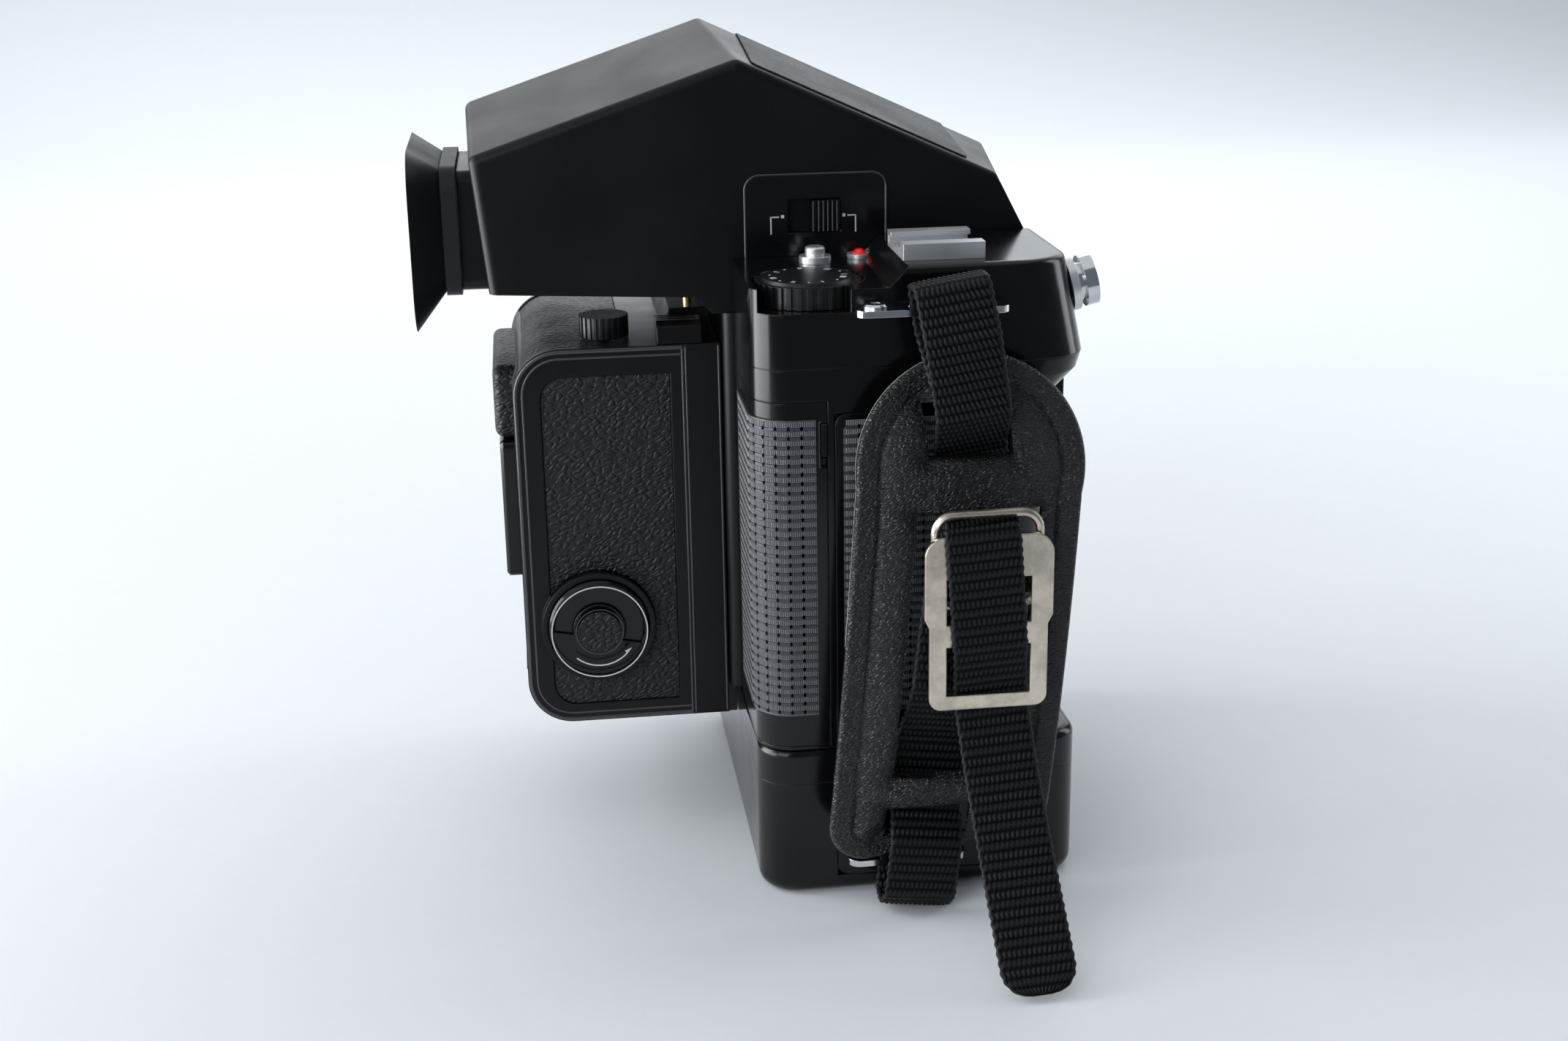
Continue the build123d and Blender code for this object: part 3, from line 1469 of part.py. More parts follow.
with BuildPart() as magazine_shell:
    with BuildSketch(across(magazine_half)):
        add(magazine_profile(shell_front))
    extrude(amount=2 * magazine_half)
    with BuildSketch(across(magazine_half - magazine_side_wall)):
        add(magazine_profile(shell_front, magazine_wall))
    extrude(amount=2 * (magazine_half - magazine_side_wall), mode=Mode.SUBTRACT)
    # recesses for the leather on both sides and over the top
    for side in (-1, 1):
        with BuildSketch(upright(magazine_half, side)):
            add(leather_plan())
        extrude(amount=side * leather_recess, mode=Mode.SUBTRACT)
    with BuildSketch(across(top_leather_half + seat_gap)):
        add(magazine_profile(shell_front))
        add(magazine_profile(shell_front, leather_recess), mode=Mode.SUBTRACT)
        with Locations((magazine_rear, top_leather_low)):
            Rectangle(
                top_leather_front + seat_gap - magazine_rear,
                magazine_top - top_leather_low,
                align=(Align.MIN, Align.MIN),
                mode=Mode.INTERSECT,
            )
    extrude(amount=2 * (top_leather_half + seat_gap), mode=Mode.SUBTRACT)
    # bezel of the winding knob
    with BuildSketch(upright(bezel_low, -1)):
        with Locations((spool_x, takeup_z)):
            Circle(knob_radius)
    extrude(amount=leather_recess + bezel_stand)
    with BuildSketch(upright(bezel_low, -1)):
        with Locations((spool_x, takeup_z)):
            Circle(knob_face_radius + free_gap)
    extrude(amount=leather_recess + bezel_stand, mode=Mode.SUBTRACT)
    with BuildSketch(upright(bezel_low, -1)):
        with Locations((spool_x, takeup_z)):
            Circle(knob_shaft + run_gap)
    extrude(amount=-magazine_side_wall, mode=Mode.SUBTRACT)
    # door opening with its hinge notch and pin holes
    door_half = door_width / 2
    span_box(
        (magazine_rear - 1, -door_half - door_gap, door_low - door_gap),
        (magazine_rear + magazine_round * 0.5, door_half + door_gap, door_high + door_gap),
        mode=Mode.SUBTRACT,
    )
    span_box(
        (magazine_rear - 1, -door_barrel_half - door_gap, door_low - 2 * door_barrel - door_gap),
        (magazine_rear + magazine_wall, door_barrel_half + door_gap, door_low),
        mode=Mode.SUBTRACT,
    )
    with BuildSketch(across(door_barrel_half + door_ear + run_gap)):
        with Locations(hinge_axis):
            Circle(door_pin + run_gap)
    extrude(amount=2 * (door_barrel_half + door_ear + run_gap), mode=Mode.SUBTRACT)
    # axle hole of the film speed wheel
    with BuildSketch(Plane.XY.offset(magazine_top - magazine_wall)):
        with Locations((wheel_x, wheel_y)):
            Circle(wheel_axle + run_gap)
    extrude(amount=magazine_wall, mode=Mode.SUBTRACT)
write(magazine_shell, "magazine_shell")

with BuildPart() as magazine_leather:
    for side in (-1, 1):
        with BuildSketch(upright(magazine_half - leather_recess, side)):
            add(leather_plan(seat_gap))
            if side < 0:
                with Locations((spool_x, takeup_z)):
                    Circle(knob_radius + seat_gap, mode=Mode.SUBTRACT)
        extrude(amount=-side * leather_thickness)
    with BuildSketch(across(top_leather_half)):
        add(magazine_profile(shell_front, leather_recess - leather_thickness))
        add(magazine_profile(shell_front, leather_recess), mode=Mode.SUBTRACT)
        with Locations((magazine_rear, top_leather_low + seat_gap)):
            Rectangle(
                top_leather_front - magazine_rear,
                magazine_top - top_leather_low,
                align=(Align.MIN, Align.MIN),
                mode=Mode.INTERSECT,
            )
    extrude(amount=2 * top_leather_half)
    with BuildSketch(Plane.XY.offset(magazine_top - leather_recess)):
        with Locations((wheel_x, wheel_y)):
            Circle(wheel_axle + free_gap)
    extrude(amount=leather_recess, mode=Mode.SUBTRACT)
write(magazine_leather, "magazine_leather")

# Magazine door: follows the shell's rear outline and swings down on its lower edge
with BuildPart() as magazine_door:
    with BuildSketch(across(door_half)):
        add(magazine_profile(shell_front))
        add(magazine_profile(shell_front, door_thickness), mode=Mode.SUBTRACT)
        with Locations((magazine_rear, door_low)):
            Rectangle(
                magazine_round,
                door_high - door_low,
                align=(Align.MIN, Align.MIN),
                mode=Mode.INTERSECT,
            )
    extrude(amount=2 * door_half)
    foot = magazine_door.edges().filter_by(Axis.Y).group_by(Axis.Z)[0].sort_by(Axis.X)[0]
    chamfer(foot, door_foot_bevel)
    # covered bulge above the memo holder
    with BuildSketch(Plane.YZ.offset(magazine_rear + door_thickness / 2)):
        with Locations((0, (bulge_low + bulge_high) / 2)):
            RectangleRounded(bulge_width, bulge_high - bulge_low, 4.0)
    extrude(amount=-(bulge_depth + door_thickness / 2))
    fillet(magazine_door.faces().sort_by(Axis.X)[0].edges(), bulge_round)
    # hinge barrel and its leaf
    with BuildSketch(across(door_barrel_half)):
        with Locations(hinge_axis):
            Circle(door_barrel)
        with Locations((hinge_axis[0], door_low - door_barrel)):
            Rectangle(door_barrel, door_barrel + door_foot_bevel + 0.5, align=(Align.MIN, Align.MIN))
    extrude(amount=2 * door_barrel_half)
    with BuildSketch(across(door_barrel_half + door_ear)):
        with Locations(hinge_axis):
            Circle(door_pin)
    extrude(amount=2 * (door_barrel_half + door_ear))
write(magazine_door, "magazine_door")

# Memo holder: a glossy frame round a recess for a card, below the bulge
with BuildPart() as memo_holder:
    with BuildSketch(Plane.YZ.offset(magazine_rear)):
        with Locations((0, (memo_low + memo_high) / 2)):
            RectangleRounded(memo_width, memo_high - memo_low, 2.0)
    extrude(amount=-memo_depth)
    rear_rim = memo_holder.faces().sort_by(Axis.X)[0].edges()
    chamfer(rear_rim, memo_bevel)
    with BuildSketch(Plane.YZ.offset(magazine_rear - memo_depth)):
        with Locations((0, (memo_low + memo_high) / 2)):
            Rectangle(memo_width - 2 * memo_rim, memo_high - memo_low - 2 * memo_rim)
    extrude(amount=memo_slot, mode=Mode.SUBTRACT)
write(memo_holder, "memo_holder")

# Film insert: two cheeks joined by the pressure plate, with pins for the spools
cheek_inner = spool_length / 2 + spool_side_gap
cheek_front = shell_front - 2.0
cheek_rear = magazine_rear + door_thickness + free_gap
spool_points = [(spool_x, supply_z), (spool_x, takeup_z)]
with BuildPart() as film_insert:
    for side in (-1, 1):
        with BuildSketch(upright(cheek_inner, side)):
            with BuildLine():
                Polyline(
                    (cheek_front, chamber_floor),
                    (cheek_rear + insert_set_in / 2, chamber_floor),
                    (cheek_rear, chamber_floor + insert_set_in),
                    (cheek_rear, door_high - insert_shoulder),
                    (cheek_rear + insert_set_in, door_high - insert_head_gap),
                    (cheek_front, door_high - insert_head_gap),
                    close=True,
                )
            make_face()
        extrude(amount=-side * insert_cheek)
    span_box(
        (cheek_front - 1.5, -cheek_inner - insert_cheek, lens_axis_z - film_half),
        (cheek_front, cheek_inner + insert_cheek, lens_axis_z + film_half),
    )
    for side in (-1, 1):
        with BuildSketch(upright(cheek_inner, side)):
            with Locations((spool_x, supply_z)):
                Circle(spool_hole - run_gap)
        extrude(amount=side * spool_pin)
    with BuildSketch(upright(cheek_inner, 1)):
        with Locations((spool_x, takeup_z)):
            Circle(spool_hole - run_gap)
    extrude(amount=spool_pin)
    with BuildSketch(upright(cheek_inner, -1)):
        with Locations((spool_x, takeup_z)):
            Circle(knob_shaft + free_gap)
    extrude(amount=insert_cheek, mode=Mode.SUBTRACT)
write(film_insert, "film_insert")


def spool(z):
    """A roll film spool with its axis across the magazine, at one height."""
    half = spool_length / 2
    with BuildPart() as reel:
        with BuildSketch(across(half)):
            with Locations((spool_x, z)):
                Circle(spool_core)
        extrude(amount=spool_length)
        for side in (-1, 1):
            with BuildSketch(upright(half, side)):
                with Locations((spool_x, z)):
                    Circle(spool_flange)
            extrude(amount=side * spool_flange_thickness)
        with BuildSketch(across(half)):
            with Locations((spool_x, z)):
                Circle(spool_hole)
        extrude(amount=spool_length, mode=Mode.SUBTRACT)
    return reel


supply_spool = spool(supply_z)
write(supply_spool, "supply_spool")
takeup_spool = spool(takeup_z)
write(takeup_spool, "takeup_spool")

# Winding knob, with the fold-out key lying in its face
knob_plane = Plane(origin=(spool_x, -knob_face, takeup_z), x_dir=(1, 0, 0), z_dir=(0, -1, 0))
key_lean = math.radians(key_tilt)
key_plane = Plane(origin=knob_plane.origin, x_dir=(math.cos(key_lean), 0, math.sin(key_lean)), z_dir=(0, -1, 0))
knob_floor = bezel_low + seat_gap
key_mid = -key_pocket_depth / 2


def key_outline(grow=0.0):
    """The key's outline: a half ring that ends at its pivot line, below the knob's middle."""
    with BuildSketch() as outline:
        Circle(key_outer + grow)
        Circle(key_inner - grow, mode=Mode.SUBTRACT)
        with Locations((0, -key_axis_drop - key_thickness / 2 - grow)):
            Rectangle(4 * key_outer, 2 * key_outer, align=(Align.CENTER, Align.MIN), mode=Mode.INTERSECT)
    return outline.sketch


with BuildPart() as wind_knob:
    with BuildSketch(upright(knob_floor, -1)):
        with Locations((spool_x, takeup_z)):
            Circle(knob_face_radius)
    extrude(amount=knob_face - knob_floor)
    chamfer(wind_knob.edges().group_by(Axis.Y)[0], 0.6)
    with BuildSketch(upright(cheek_inner, -1)):
        with Locations((spool_x, takeup_z)):
            Circle(knob_shaft)
    extrude(amount=knob_floor - cheek_inner)
    with BuildSketch(upright(cheek_inner, -1)):
        with Locations((spool_x, takeup_z)):
            Circle(spool_hole - run_gap)
    extrude(amount=-4)
    with BuildSketch(key_plane):
        add(key_outline(key_gap))
    extrude(amount=-key_pocket_depth, mode=Mode.SUBTRACT)
    for side in (-1, 1):
        pin_plane = Plane(
            origin=key_plane.from_local_coords((side * key_inner, -key_axis_drop, key_mid)),
            z_dir=key_plane.x_dir * side,
        )
        with BuildSketch(pin_plane):
            Circle(key_pin + run_gap)
        extrude(amount=key_outer - key_inner + key_pin_length + run_gap, mode=Mode.SUBTRACT)
write(wind_knob, "wind_knob")

with BuildPart() as wind_key:
    with BuildSketch(key_plane.offset(key_mid - key_thickness / 2)):
        add(key_outline())
    extrude(amount=key_thickness)
    # rounded feet and pivot pins along the key's hinge line
    for side in (-1, 1):
        foot_plane = Plane(
            origin=key_plane.from_local_coords((side * key_inner, -key_axis_drop, key_mid)),
            z_dir=key_plane.x_dir * side,
        )
        with BuildSketch(foot_plane):
            Circle(key_pin)
        extrude(amount=key_outer - key_inner + key_pin_length)
write(wind_key, "wind_key")

# Dark slide: a thin sheet across the film gate with a grip on its outer end
with BuildPart() as dark_slide:
    span_box(
        (slide_x - slide_thickness / 2, -slide_half, slide_low),
        (slide_x + slide_thickness / 2, slide_far, slide_high),
    )
    with BuildSketch(upright(slide_far, 1)):
        with Locations((slide_x, slide_mid_z)):
            RectangleRounded(slide_handle / 2, slide_high - slide_low, 0.8)
    extrude(amount=-slide_handle)
write(dark_slide, "dark_slide")

# Magazine release: a ridged slider that pushes in towards the coupling block
slider_low = magazine_top + seat_gap
with BuildPart() as release_slider:
    span_box((release_left, release_near, slider_low), (release_right, release_far, release_top))
    near_top = release_slider.edges().filter_by(Axis.X).group_by(Axis.Z)[-1].sort_by(Axis.Y)[0]
    chamfer(near_top, 1.6)
    ridge_pitch = (release_far - release_near - 3) / release_ribs
    for ridge in range(release_ribs):
        ridge_y = release_near + 3 + ridge * ridge_pitch
        span_box(
            (release_left + 1, ridge_y, release_top - 0.6),
            (release_right - 1, ridge_y + ridge_pitch / 2, release_top),
            mode=Mode.SUBTRACT,
        )
    with BuildSketch(upright(release_far, 1)):
        with Locations((release_x, slider_z)):
            Circle(release_stem)
    extrude(amount=-(release_stem_reach - block_half - release_far))
write(release_slider, "release_slider")

wheel_low = magazine_top + free_gap
with BuildPart() as film_speed_wheel:
    with BuildSketch(Plane.XY.offset(wheel_low)):
        with Locations((wheel_x, wheel_y)):
            Circle(wheel_radius)
            with PolarLocations(wheel_radius, wheel_flutes):
                Rectangle(0.8, 0.8, mode=Mode.SUBTRACT)
    extrude(amount=wheel_height)
    with BuildSketch(Plane.XY.offset(wheel_low)):
        with Locations((wheel_x, wheel_y)):
            Circle(wheel_axle)
    extrude(amount=-magazine_wall)
write(film_speed_wheel, "film_speed_wheel")


# Prism finder
def below_front_roof(lift):
    """Planes of the front roof's two halves, raised by a lift."""
    origin = (front_roof_point[0], 0, finder_base + front_roof_point[1] + lift)
    return [Plane(origin=origin, z_dir=(-front_roof_rise, side * front_roof_fall, 1)) for side in (-1, 1)]


rear_origin = (rear_roof_point[0], 0, finder_base + rear_roof_point[1])
rear_roof = [Plane(origin=rear_origin, z_dir=(-rear_roof_rise, side * rear_roof_fall, 1)) for side in (-1, 1)]
nose_origin = (nose_point[0], 0, finder_base + nose_point[1])
nose = [Plane(origin=nose_origin, z_dir=(1, side * nose_sweep, 1 / nose_slope)) for side in (-1, 1)]
rear_lean = (finder_rear_high[0] - finder_rear_low[0]) / (finder_rear_high[1] - finder_rear_low[1])
rear_top_x = finder_rear_low[0] + rear_lean * (finder_blank_rise - finder_rear_low[1])
side_face = Plane(origin=(0, -finder_half, 0), x_dir=(1, 0, 0), z_dir=(0, -1, 0))
slot_mid = ((slot_left + slot_right) / 2, (slot_low + slot_high) / 2)
slot_size = (slot_right - slot_left, slot_high - slot_low)
glass_points = [
    (2 - glass_rear, finder_base + glass_lift),
    (glass_front, finder_base + glass_lift),
    (glass_front, finder_base + glass_front_rise),
    (glass_front - glass_brow, finder_base + glass_brow_rise),
    (-glass_crest, finder_base + glass_height),
    (-glass_rear, finder_base + glass_rear_rise),
    (-glass_rear, finder_base + glass_foot_rise),
]

with BuildPart() as prism_housing:
    with BuildSketch(across(finder_half)):
        with BuildLine():
            Polyline(
                (finder_rear_low[0], finder_base + finder_rear_low[1]),
                (rear_top_x, finder_roof_z),
                (finder_front, finder_roof_z),
                (finder_front, finder_base),
                (finder_toe_x, finder_base),
                (finder_heel[0], finder_base + finder_heel[1]),
                close=True,
            )
        make_face()
    extrude(amount=finder_width)
    for plane in rear_roof + below_front_roof(0) + nose:
        split(bisect_by=plane, keep=Keep.BOTTOM)
    roof_edges = prism_housing.edges().filter_by(lambda e: e.center().Z > tunnel_z and e.length > 4)
    fillet(roof_edges, finder_edge_round)
    # cavity of the prism glass and the light path to the eyepiece
    with BuildSketch(across(glass_width / 2 + seat_gap)):
        with BuildLine():
            Polyline(*glass_points, close=True)
        make_face()
        offset(amount=seat_gap, kind=Kind.INTERSECTION)
    extrude(amount=glass_width + 2 * seat_gap, mode=Mode.SUBTRACT)
    span_box(
        (-glass_rear, -glass_width / 2, finder_base),
        (glass_front, glass_width / 2, finder_base + 2 * glass_lift),
        mode=Mode.SUBTRACT,
    )
    with BuildSketch(Plane.YZ.offset(eyepiece_face)):
        with Locations((0, tunnel_z)):
            Rectangle(tunnel_width, tunnel_height)
    extrude(amount=1 - glass_rear - eyepiece_face, mode=Mode.SUBTRACT)
    # seats of the eyepiece, the slider and the contact pin
    with BuildSketch(Plane.YZ.offset(eyepiece_seat)):
        with Locations((0, tunnel_z)):
            Rectangle(eyepiece_width + 2 * seat_gap, eyepiece_height + 2 * seat_gap)
    extrude(amount=eyepiece_face - eyepiece_seat, mode=Mode.SUBTRACT)
    with BuildSketch(side_face):
        with Locations(slot_mid):
            Rectangle(*slot_size)
    extrude(amount=-slot_depth, mode=Mode.SUBTRACT)
    with BuildSketch(Plane.XY.offset(contact_pin_low)):
        with Locations((contact_pin_x, contact_pin_y)):
            Circle(contact_pin_radius + run_gap)
    extrude(amount=contact_pin_length + seat_gap, mode=Mode.SUBTRACT)
write(prism_housing, "prism_housing")

with BuildPart() as under_cover:
    with BuildSketch(Plane.XY.offset(tunnel_z)):
        with Locations(((roof_cover_rear + roof_cover_front) / 2, 0)):
            Rectangle(roof_cover_front - roof_cover_rear + 2 * leather_round, roof_cover_width + leather_round)
    extrude(amount=finder_roof_z - tunnel_z)
    for plane in below_front_roof(0):
        split(bisect_by=plane, keep=Keep.BOTTOM)

with BuildPart() as roof_covering:
    with BuildSketch(Plane.XY.offset(tunnel_z)):
        with Locations(((roof_cover_rear + roof_cover_front) / 2, 0)):
            RectangleRounded(roof_cover_front - roof_cover_rear, roof_cover_width, 2.0)
    extrude(amount=finder_roof_z - tunnel_z)
    for plane in below_front_roof(roof_cover_thickness):
        split(bisect_by=plane, keep=Keep.BOTTOM)
    add(under_cover.part, mode=Mode.SUBTRACT)
write(roof_covering, "roof_covering")

with BuildPart() as side_plate:
    with BuildSketch(side_face):
        with Locations(((plate_left + plate_right) / 2, (plate_low + plate_high) / 2)):
            RectangleRounded(plate_right - plate_left, plate_high - plate_low, plate_corner)
        with Locations(slot_mid):
            Rectangle(*slot_size, mode=Mode.SUBTRACT)
    extrude(amount=plate_thickness)
write(side_plate, "side_plate")

# Exposure mode slider: a ribbed knob in the side plate's slot, resting at its front end
mode_knob_right = slot_right - free_gap
mode_knob_mid = mode_knob_right - mode_knob_width / 2
mode_ribs = 6
with BuildPart() as mode_slider:
    with BuildSketch(side_face.offset(-slot_depth + seat_gap)):
        with Locations((mode_knob_mid, slot_mid[1])):
            Rectangle(mode_knob_width, slot_size[1] - 2 * free_gap)
    extrude(amount=slot_depth - seat_gap + plate_thickness + mode_knob_stand)
    with BuildSketch(side_face.offset(plate_thickness + mode_knob_stand)):
        with Locations((mode_knob_mid, slot_mid[1])):
            with GridLocations(mode_knob_width / mode_ribs, 0, mode_ribs - 1, 1):
                Rectangle(0.5, slot_size[1] - 2 * free_gap)
    extrude(amount=-0.6, mode=Mode.SUBTRACT)
write(mode_slider, "mode_slider")

with BuildPart() as prism_glass:
    with BuildSketch(across(glass_width / 2)):
        with BuildLine():
            Polyline(*glass_points, close=True)
        make_face()
    extrude(amount=glass_width)
write(prism_glass, "prism_glass")

# Eyepiece: a frame let into the finder's rear face, with its lens
with BuildPart() as eyepiece:
    with BuildSketch(Plane.YZ.offset(eyepiece_seat)):
        with Locations((0, tunnel_z)):
            RectangleRounded(eyepiece_width, eyepiece_height, 3.0)
            Rectangle(tunnel_width, tunnel_height, mode=Mode.SUBTRACT)
    extrude(amount=eyepiece_face - eyepiece_seat)
    with BuildSketch(Plane.YZ.offset(eyepiece_seat - 1)):
        with Locations((0, tunnel_z)):
            Rectangle(tunnel_width, tunnel_height)
    extrude(amount=-2.0)
write(eyepiece, "eyepiece")

# Eyecup: a square collar that opens into a soft flared rim
collar_far = eyepiece_face - seat_gap - collar_depth
with BuildPart() as eyecup:
    with BuildSketch(Plane.YZ.offset(eyepiece_face - seat_gap)):
        with Locations((0, tunnel_z)):
            RectangleRounded(collar_width, collar_height_out, 5.0)
    extrude(amount=-collar_depth)
    with BuildSketch(Plane.YZ.offset(collar_far)):
        with Locations((0, tunnel_z)):
            RectangleRounded(collar_width - 2, collar_height_out - 2, 5.0)
    with BuildSketch(Plane.YZ.offset(rim_face)):
        with Locations((0, rim_z)):
            RectangleRounded(rim_width, rim_height, rim_corner)
    loft(ruled=True)
    with BuildSketch(Plane.YZ.offset(eyepiece_face - seat_gap)):
        with Locations((0, tunnel_z)):
            RectangleRounded(collar_width - 6, collar_height_out - 6, 4.0)
    extrude(amount=-collar_depth, mode=Mode.SUBTRACT)
    with BuildSketch(Plane.YZ.offset(collar_far)):
        with Locations((0, tunnel_z)):
            RectangleRounded(collar_width - 6, collar_height_out - 6, 4.0)
    with BuildSketch(Plane.YZ.offset(rim_face)):
        with Locations((0, rim_z)):
            RectangleRounded(rim_width - 2 * eyecup_wall, rim_height - 2 * eyecup_wall, rim_corner - eyecup_wall)
    loft(ruled=True, mode=Mode.SUBTRACT)
write(eyecup, "eyecup")

with BuildPart() as contact_pin:
    with BuildSketch(Plane.XY.offset(contact_pin_low)):
        with Locations((contact_pin_x, contact_pin_y)):
            Circle(contact_pin_radius)
    extrude(amount=contact_pin_length)
    chamfer(contact_pin.edges().group_by(Axis.Z)[0], 0.4)
write(contact_pin, "contact_pin")
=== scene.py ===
"""Looks of a medium format film camera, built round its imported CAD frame.

Sizes are in millimetres in the row frame: +X out of the lens mount, +Y to the photographer's
left, +Z up, with the origin at the mouth of the tripod socket.
"""
from __future__ import annotations

import json
import logging
import math
import random
from collections.abc import Callable, Sequence
from dataclasses import dataclass, field
from enum import Enum

import bmesh
import bpy
from mathutils import Matrix, Vector

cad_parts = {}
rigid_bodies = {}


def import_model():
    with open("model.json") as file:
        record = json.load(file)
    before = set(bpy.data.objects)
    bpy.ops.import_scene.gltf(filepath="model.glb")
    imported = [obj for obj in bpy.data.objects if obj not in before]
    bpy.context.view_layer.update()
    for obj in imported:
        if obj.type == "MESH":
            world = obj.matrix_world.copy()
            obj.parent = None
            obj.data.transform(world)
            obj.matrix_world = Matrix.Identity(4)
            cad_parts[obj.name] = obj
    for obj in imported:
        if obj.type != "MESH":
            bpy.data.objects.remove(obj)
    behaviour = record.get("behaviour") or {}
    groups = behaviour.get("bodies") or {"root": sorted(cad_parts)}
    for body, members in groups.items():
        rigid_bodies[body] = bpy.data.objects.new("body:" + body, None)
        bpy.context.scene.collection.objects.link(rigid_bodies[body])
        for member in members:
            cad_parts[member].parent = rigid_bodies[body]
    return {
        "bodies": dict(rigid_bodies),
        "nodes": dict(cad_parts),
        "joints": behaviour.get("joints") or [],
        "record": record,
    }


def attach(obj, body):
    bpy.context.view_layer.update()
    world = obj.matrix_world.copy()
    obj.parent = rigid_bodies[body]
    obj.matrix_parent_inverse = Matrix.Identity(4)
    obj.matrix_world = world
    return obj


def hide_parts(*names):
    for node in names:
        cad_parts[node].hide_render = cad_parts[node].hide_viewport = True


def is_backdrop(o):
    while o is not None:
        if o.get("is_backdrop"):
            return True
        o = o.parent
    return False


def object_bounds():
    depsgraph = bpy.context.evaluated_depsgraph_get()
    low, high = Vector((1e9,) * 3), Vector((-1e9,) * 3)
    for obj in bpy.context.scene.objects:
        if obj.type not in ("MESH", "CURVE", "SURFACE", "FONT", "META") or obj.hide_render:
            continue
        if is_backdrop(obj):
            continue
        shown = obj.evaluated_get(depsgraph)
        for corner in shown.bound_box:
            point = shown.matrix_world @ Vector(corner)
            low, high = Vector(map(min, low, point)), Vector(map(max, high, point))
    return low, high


Mesh = bmesh.types.BMesh
Piece = bpy.types.Object
Socket = bpy.types.NodeSocket
Pair = tuple[float, float]
Triple = tuple[float, float, float]
Surface = Callable[[float, float, float], Vector]

LOG = logging.getLogger("camera")
MM = 0.001
GRIP_OUTER = -84.0
# Mesh attribute that holds the webbing's painted sheen and shade
WEAVE_SHADE = "weave"
ROW_LOW = 50.4
ROW_PITCH = 2.28
ROW_RIB = 0.52
ROW_START = 0.39
ROW_BAND = 0.62
ROW_LIP = 0.09


class Grain(Enum):
    """Kinds of fine surface structure."""

    PLAIN = "plain"
    PAINT = "paint"
    HIDE_COARSE = "hide_coarse"
    HIDE_FINE = "hide_fine"
    HIDE_SOFT = "hide_soft"
    RUBBER = "rubber"
    BRUSHED = "brushed"
    WORN = "worn"
    THREAD = "thread"
    WOVEN = "woven"
    RIBBED = "ribbed"


class Slot(Enum):
    """Material slots of the record that pieces take their finish from."""

    GLOSS = "gloss_black"
    SATIN = "satin_black"
    MATTE = "matte_black"
    DIAL = "dial_black"
    LEATHER = "leatherette"
    PAD = "pad_leather"
    RIBBED = "ribbed_rubber"
    EYECUP = "eyecup_rubber"
    WEBBING = "webbing"
    CHROME = "chrome"
    NICKEL = "nickel"
    STEEL = "bare_steel"
    SLIDE = "slide_steel"
    DARK_STEEL = "steel_dark"
    BRASS = "brass"
    MIRROR = "mirror_silver"
    FROSTED = "frosted_glass"
    CLEAR = "clear_glass"
    RED = "red_lens"
    LABEL = "cell_label"
    SPOOL = "spool_plastic"


@dataclass(frozen=True)
class Finish:
    """Look of one surface: colour, gloss and fine structure."""

    name: str
    colour: Triple
    roughness: float
    metallic: float = 0.0
    coat: float = 0.0
    specular: float = 0.5
    transmission: float = 0.0
    grain: Grain = Grain.PLAIN
    grain_depth: float = 0.0
    edge_round: float = 0.25
    emission: float = 0.0
    spread: float = 0.2


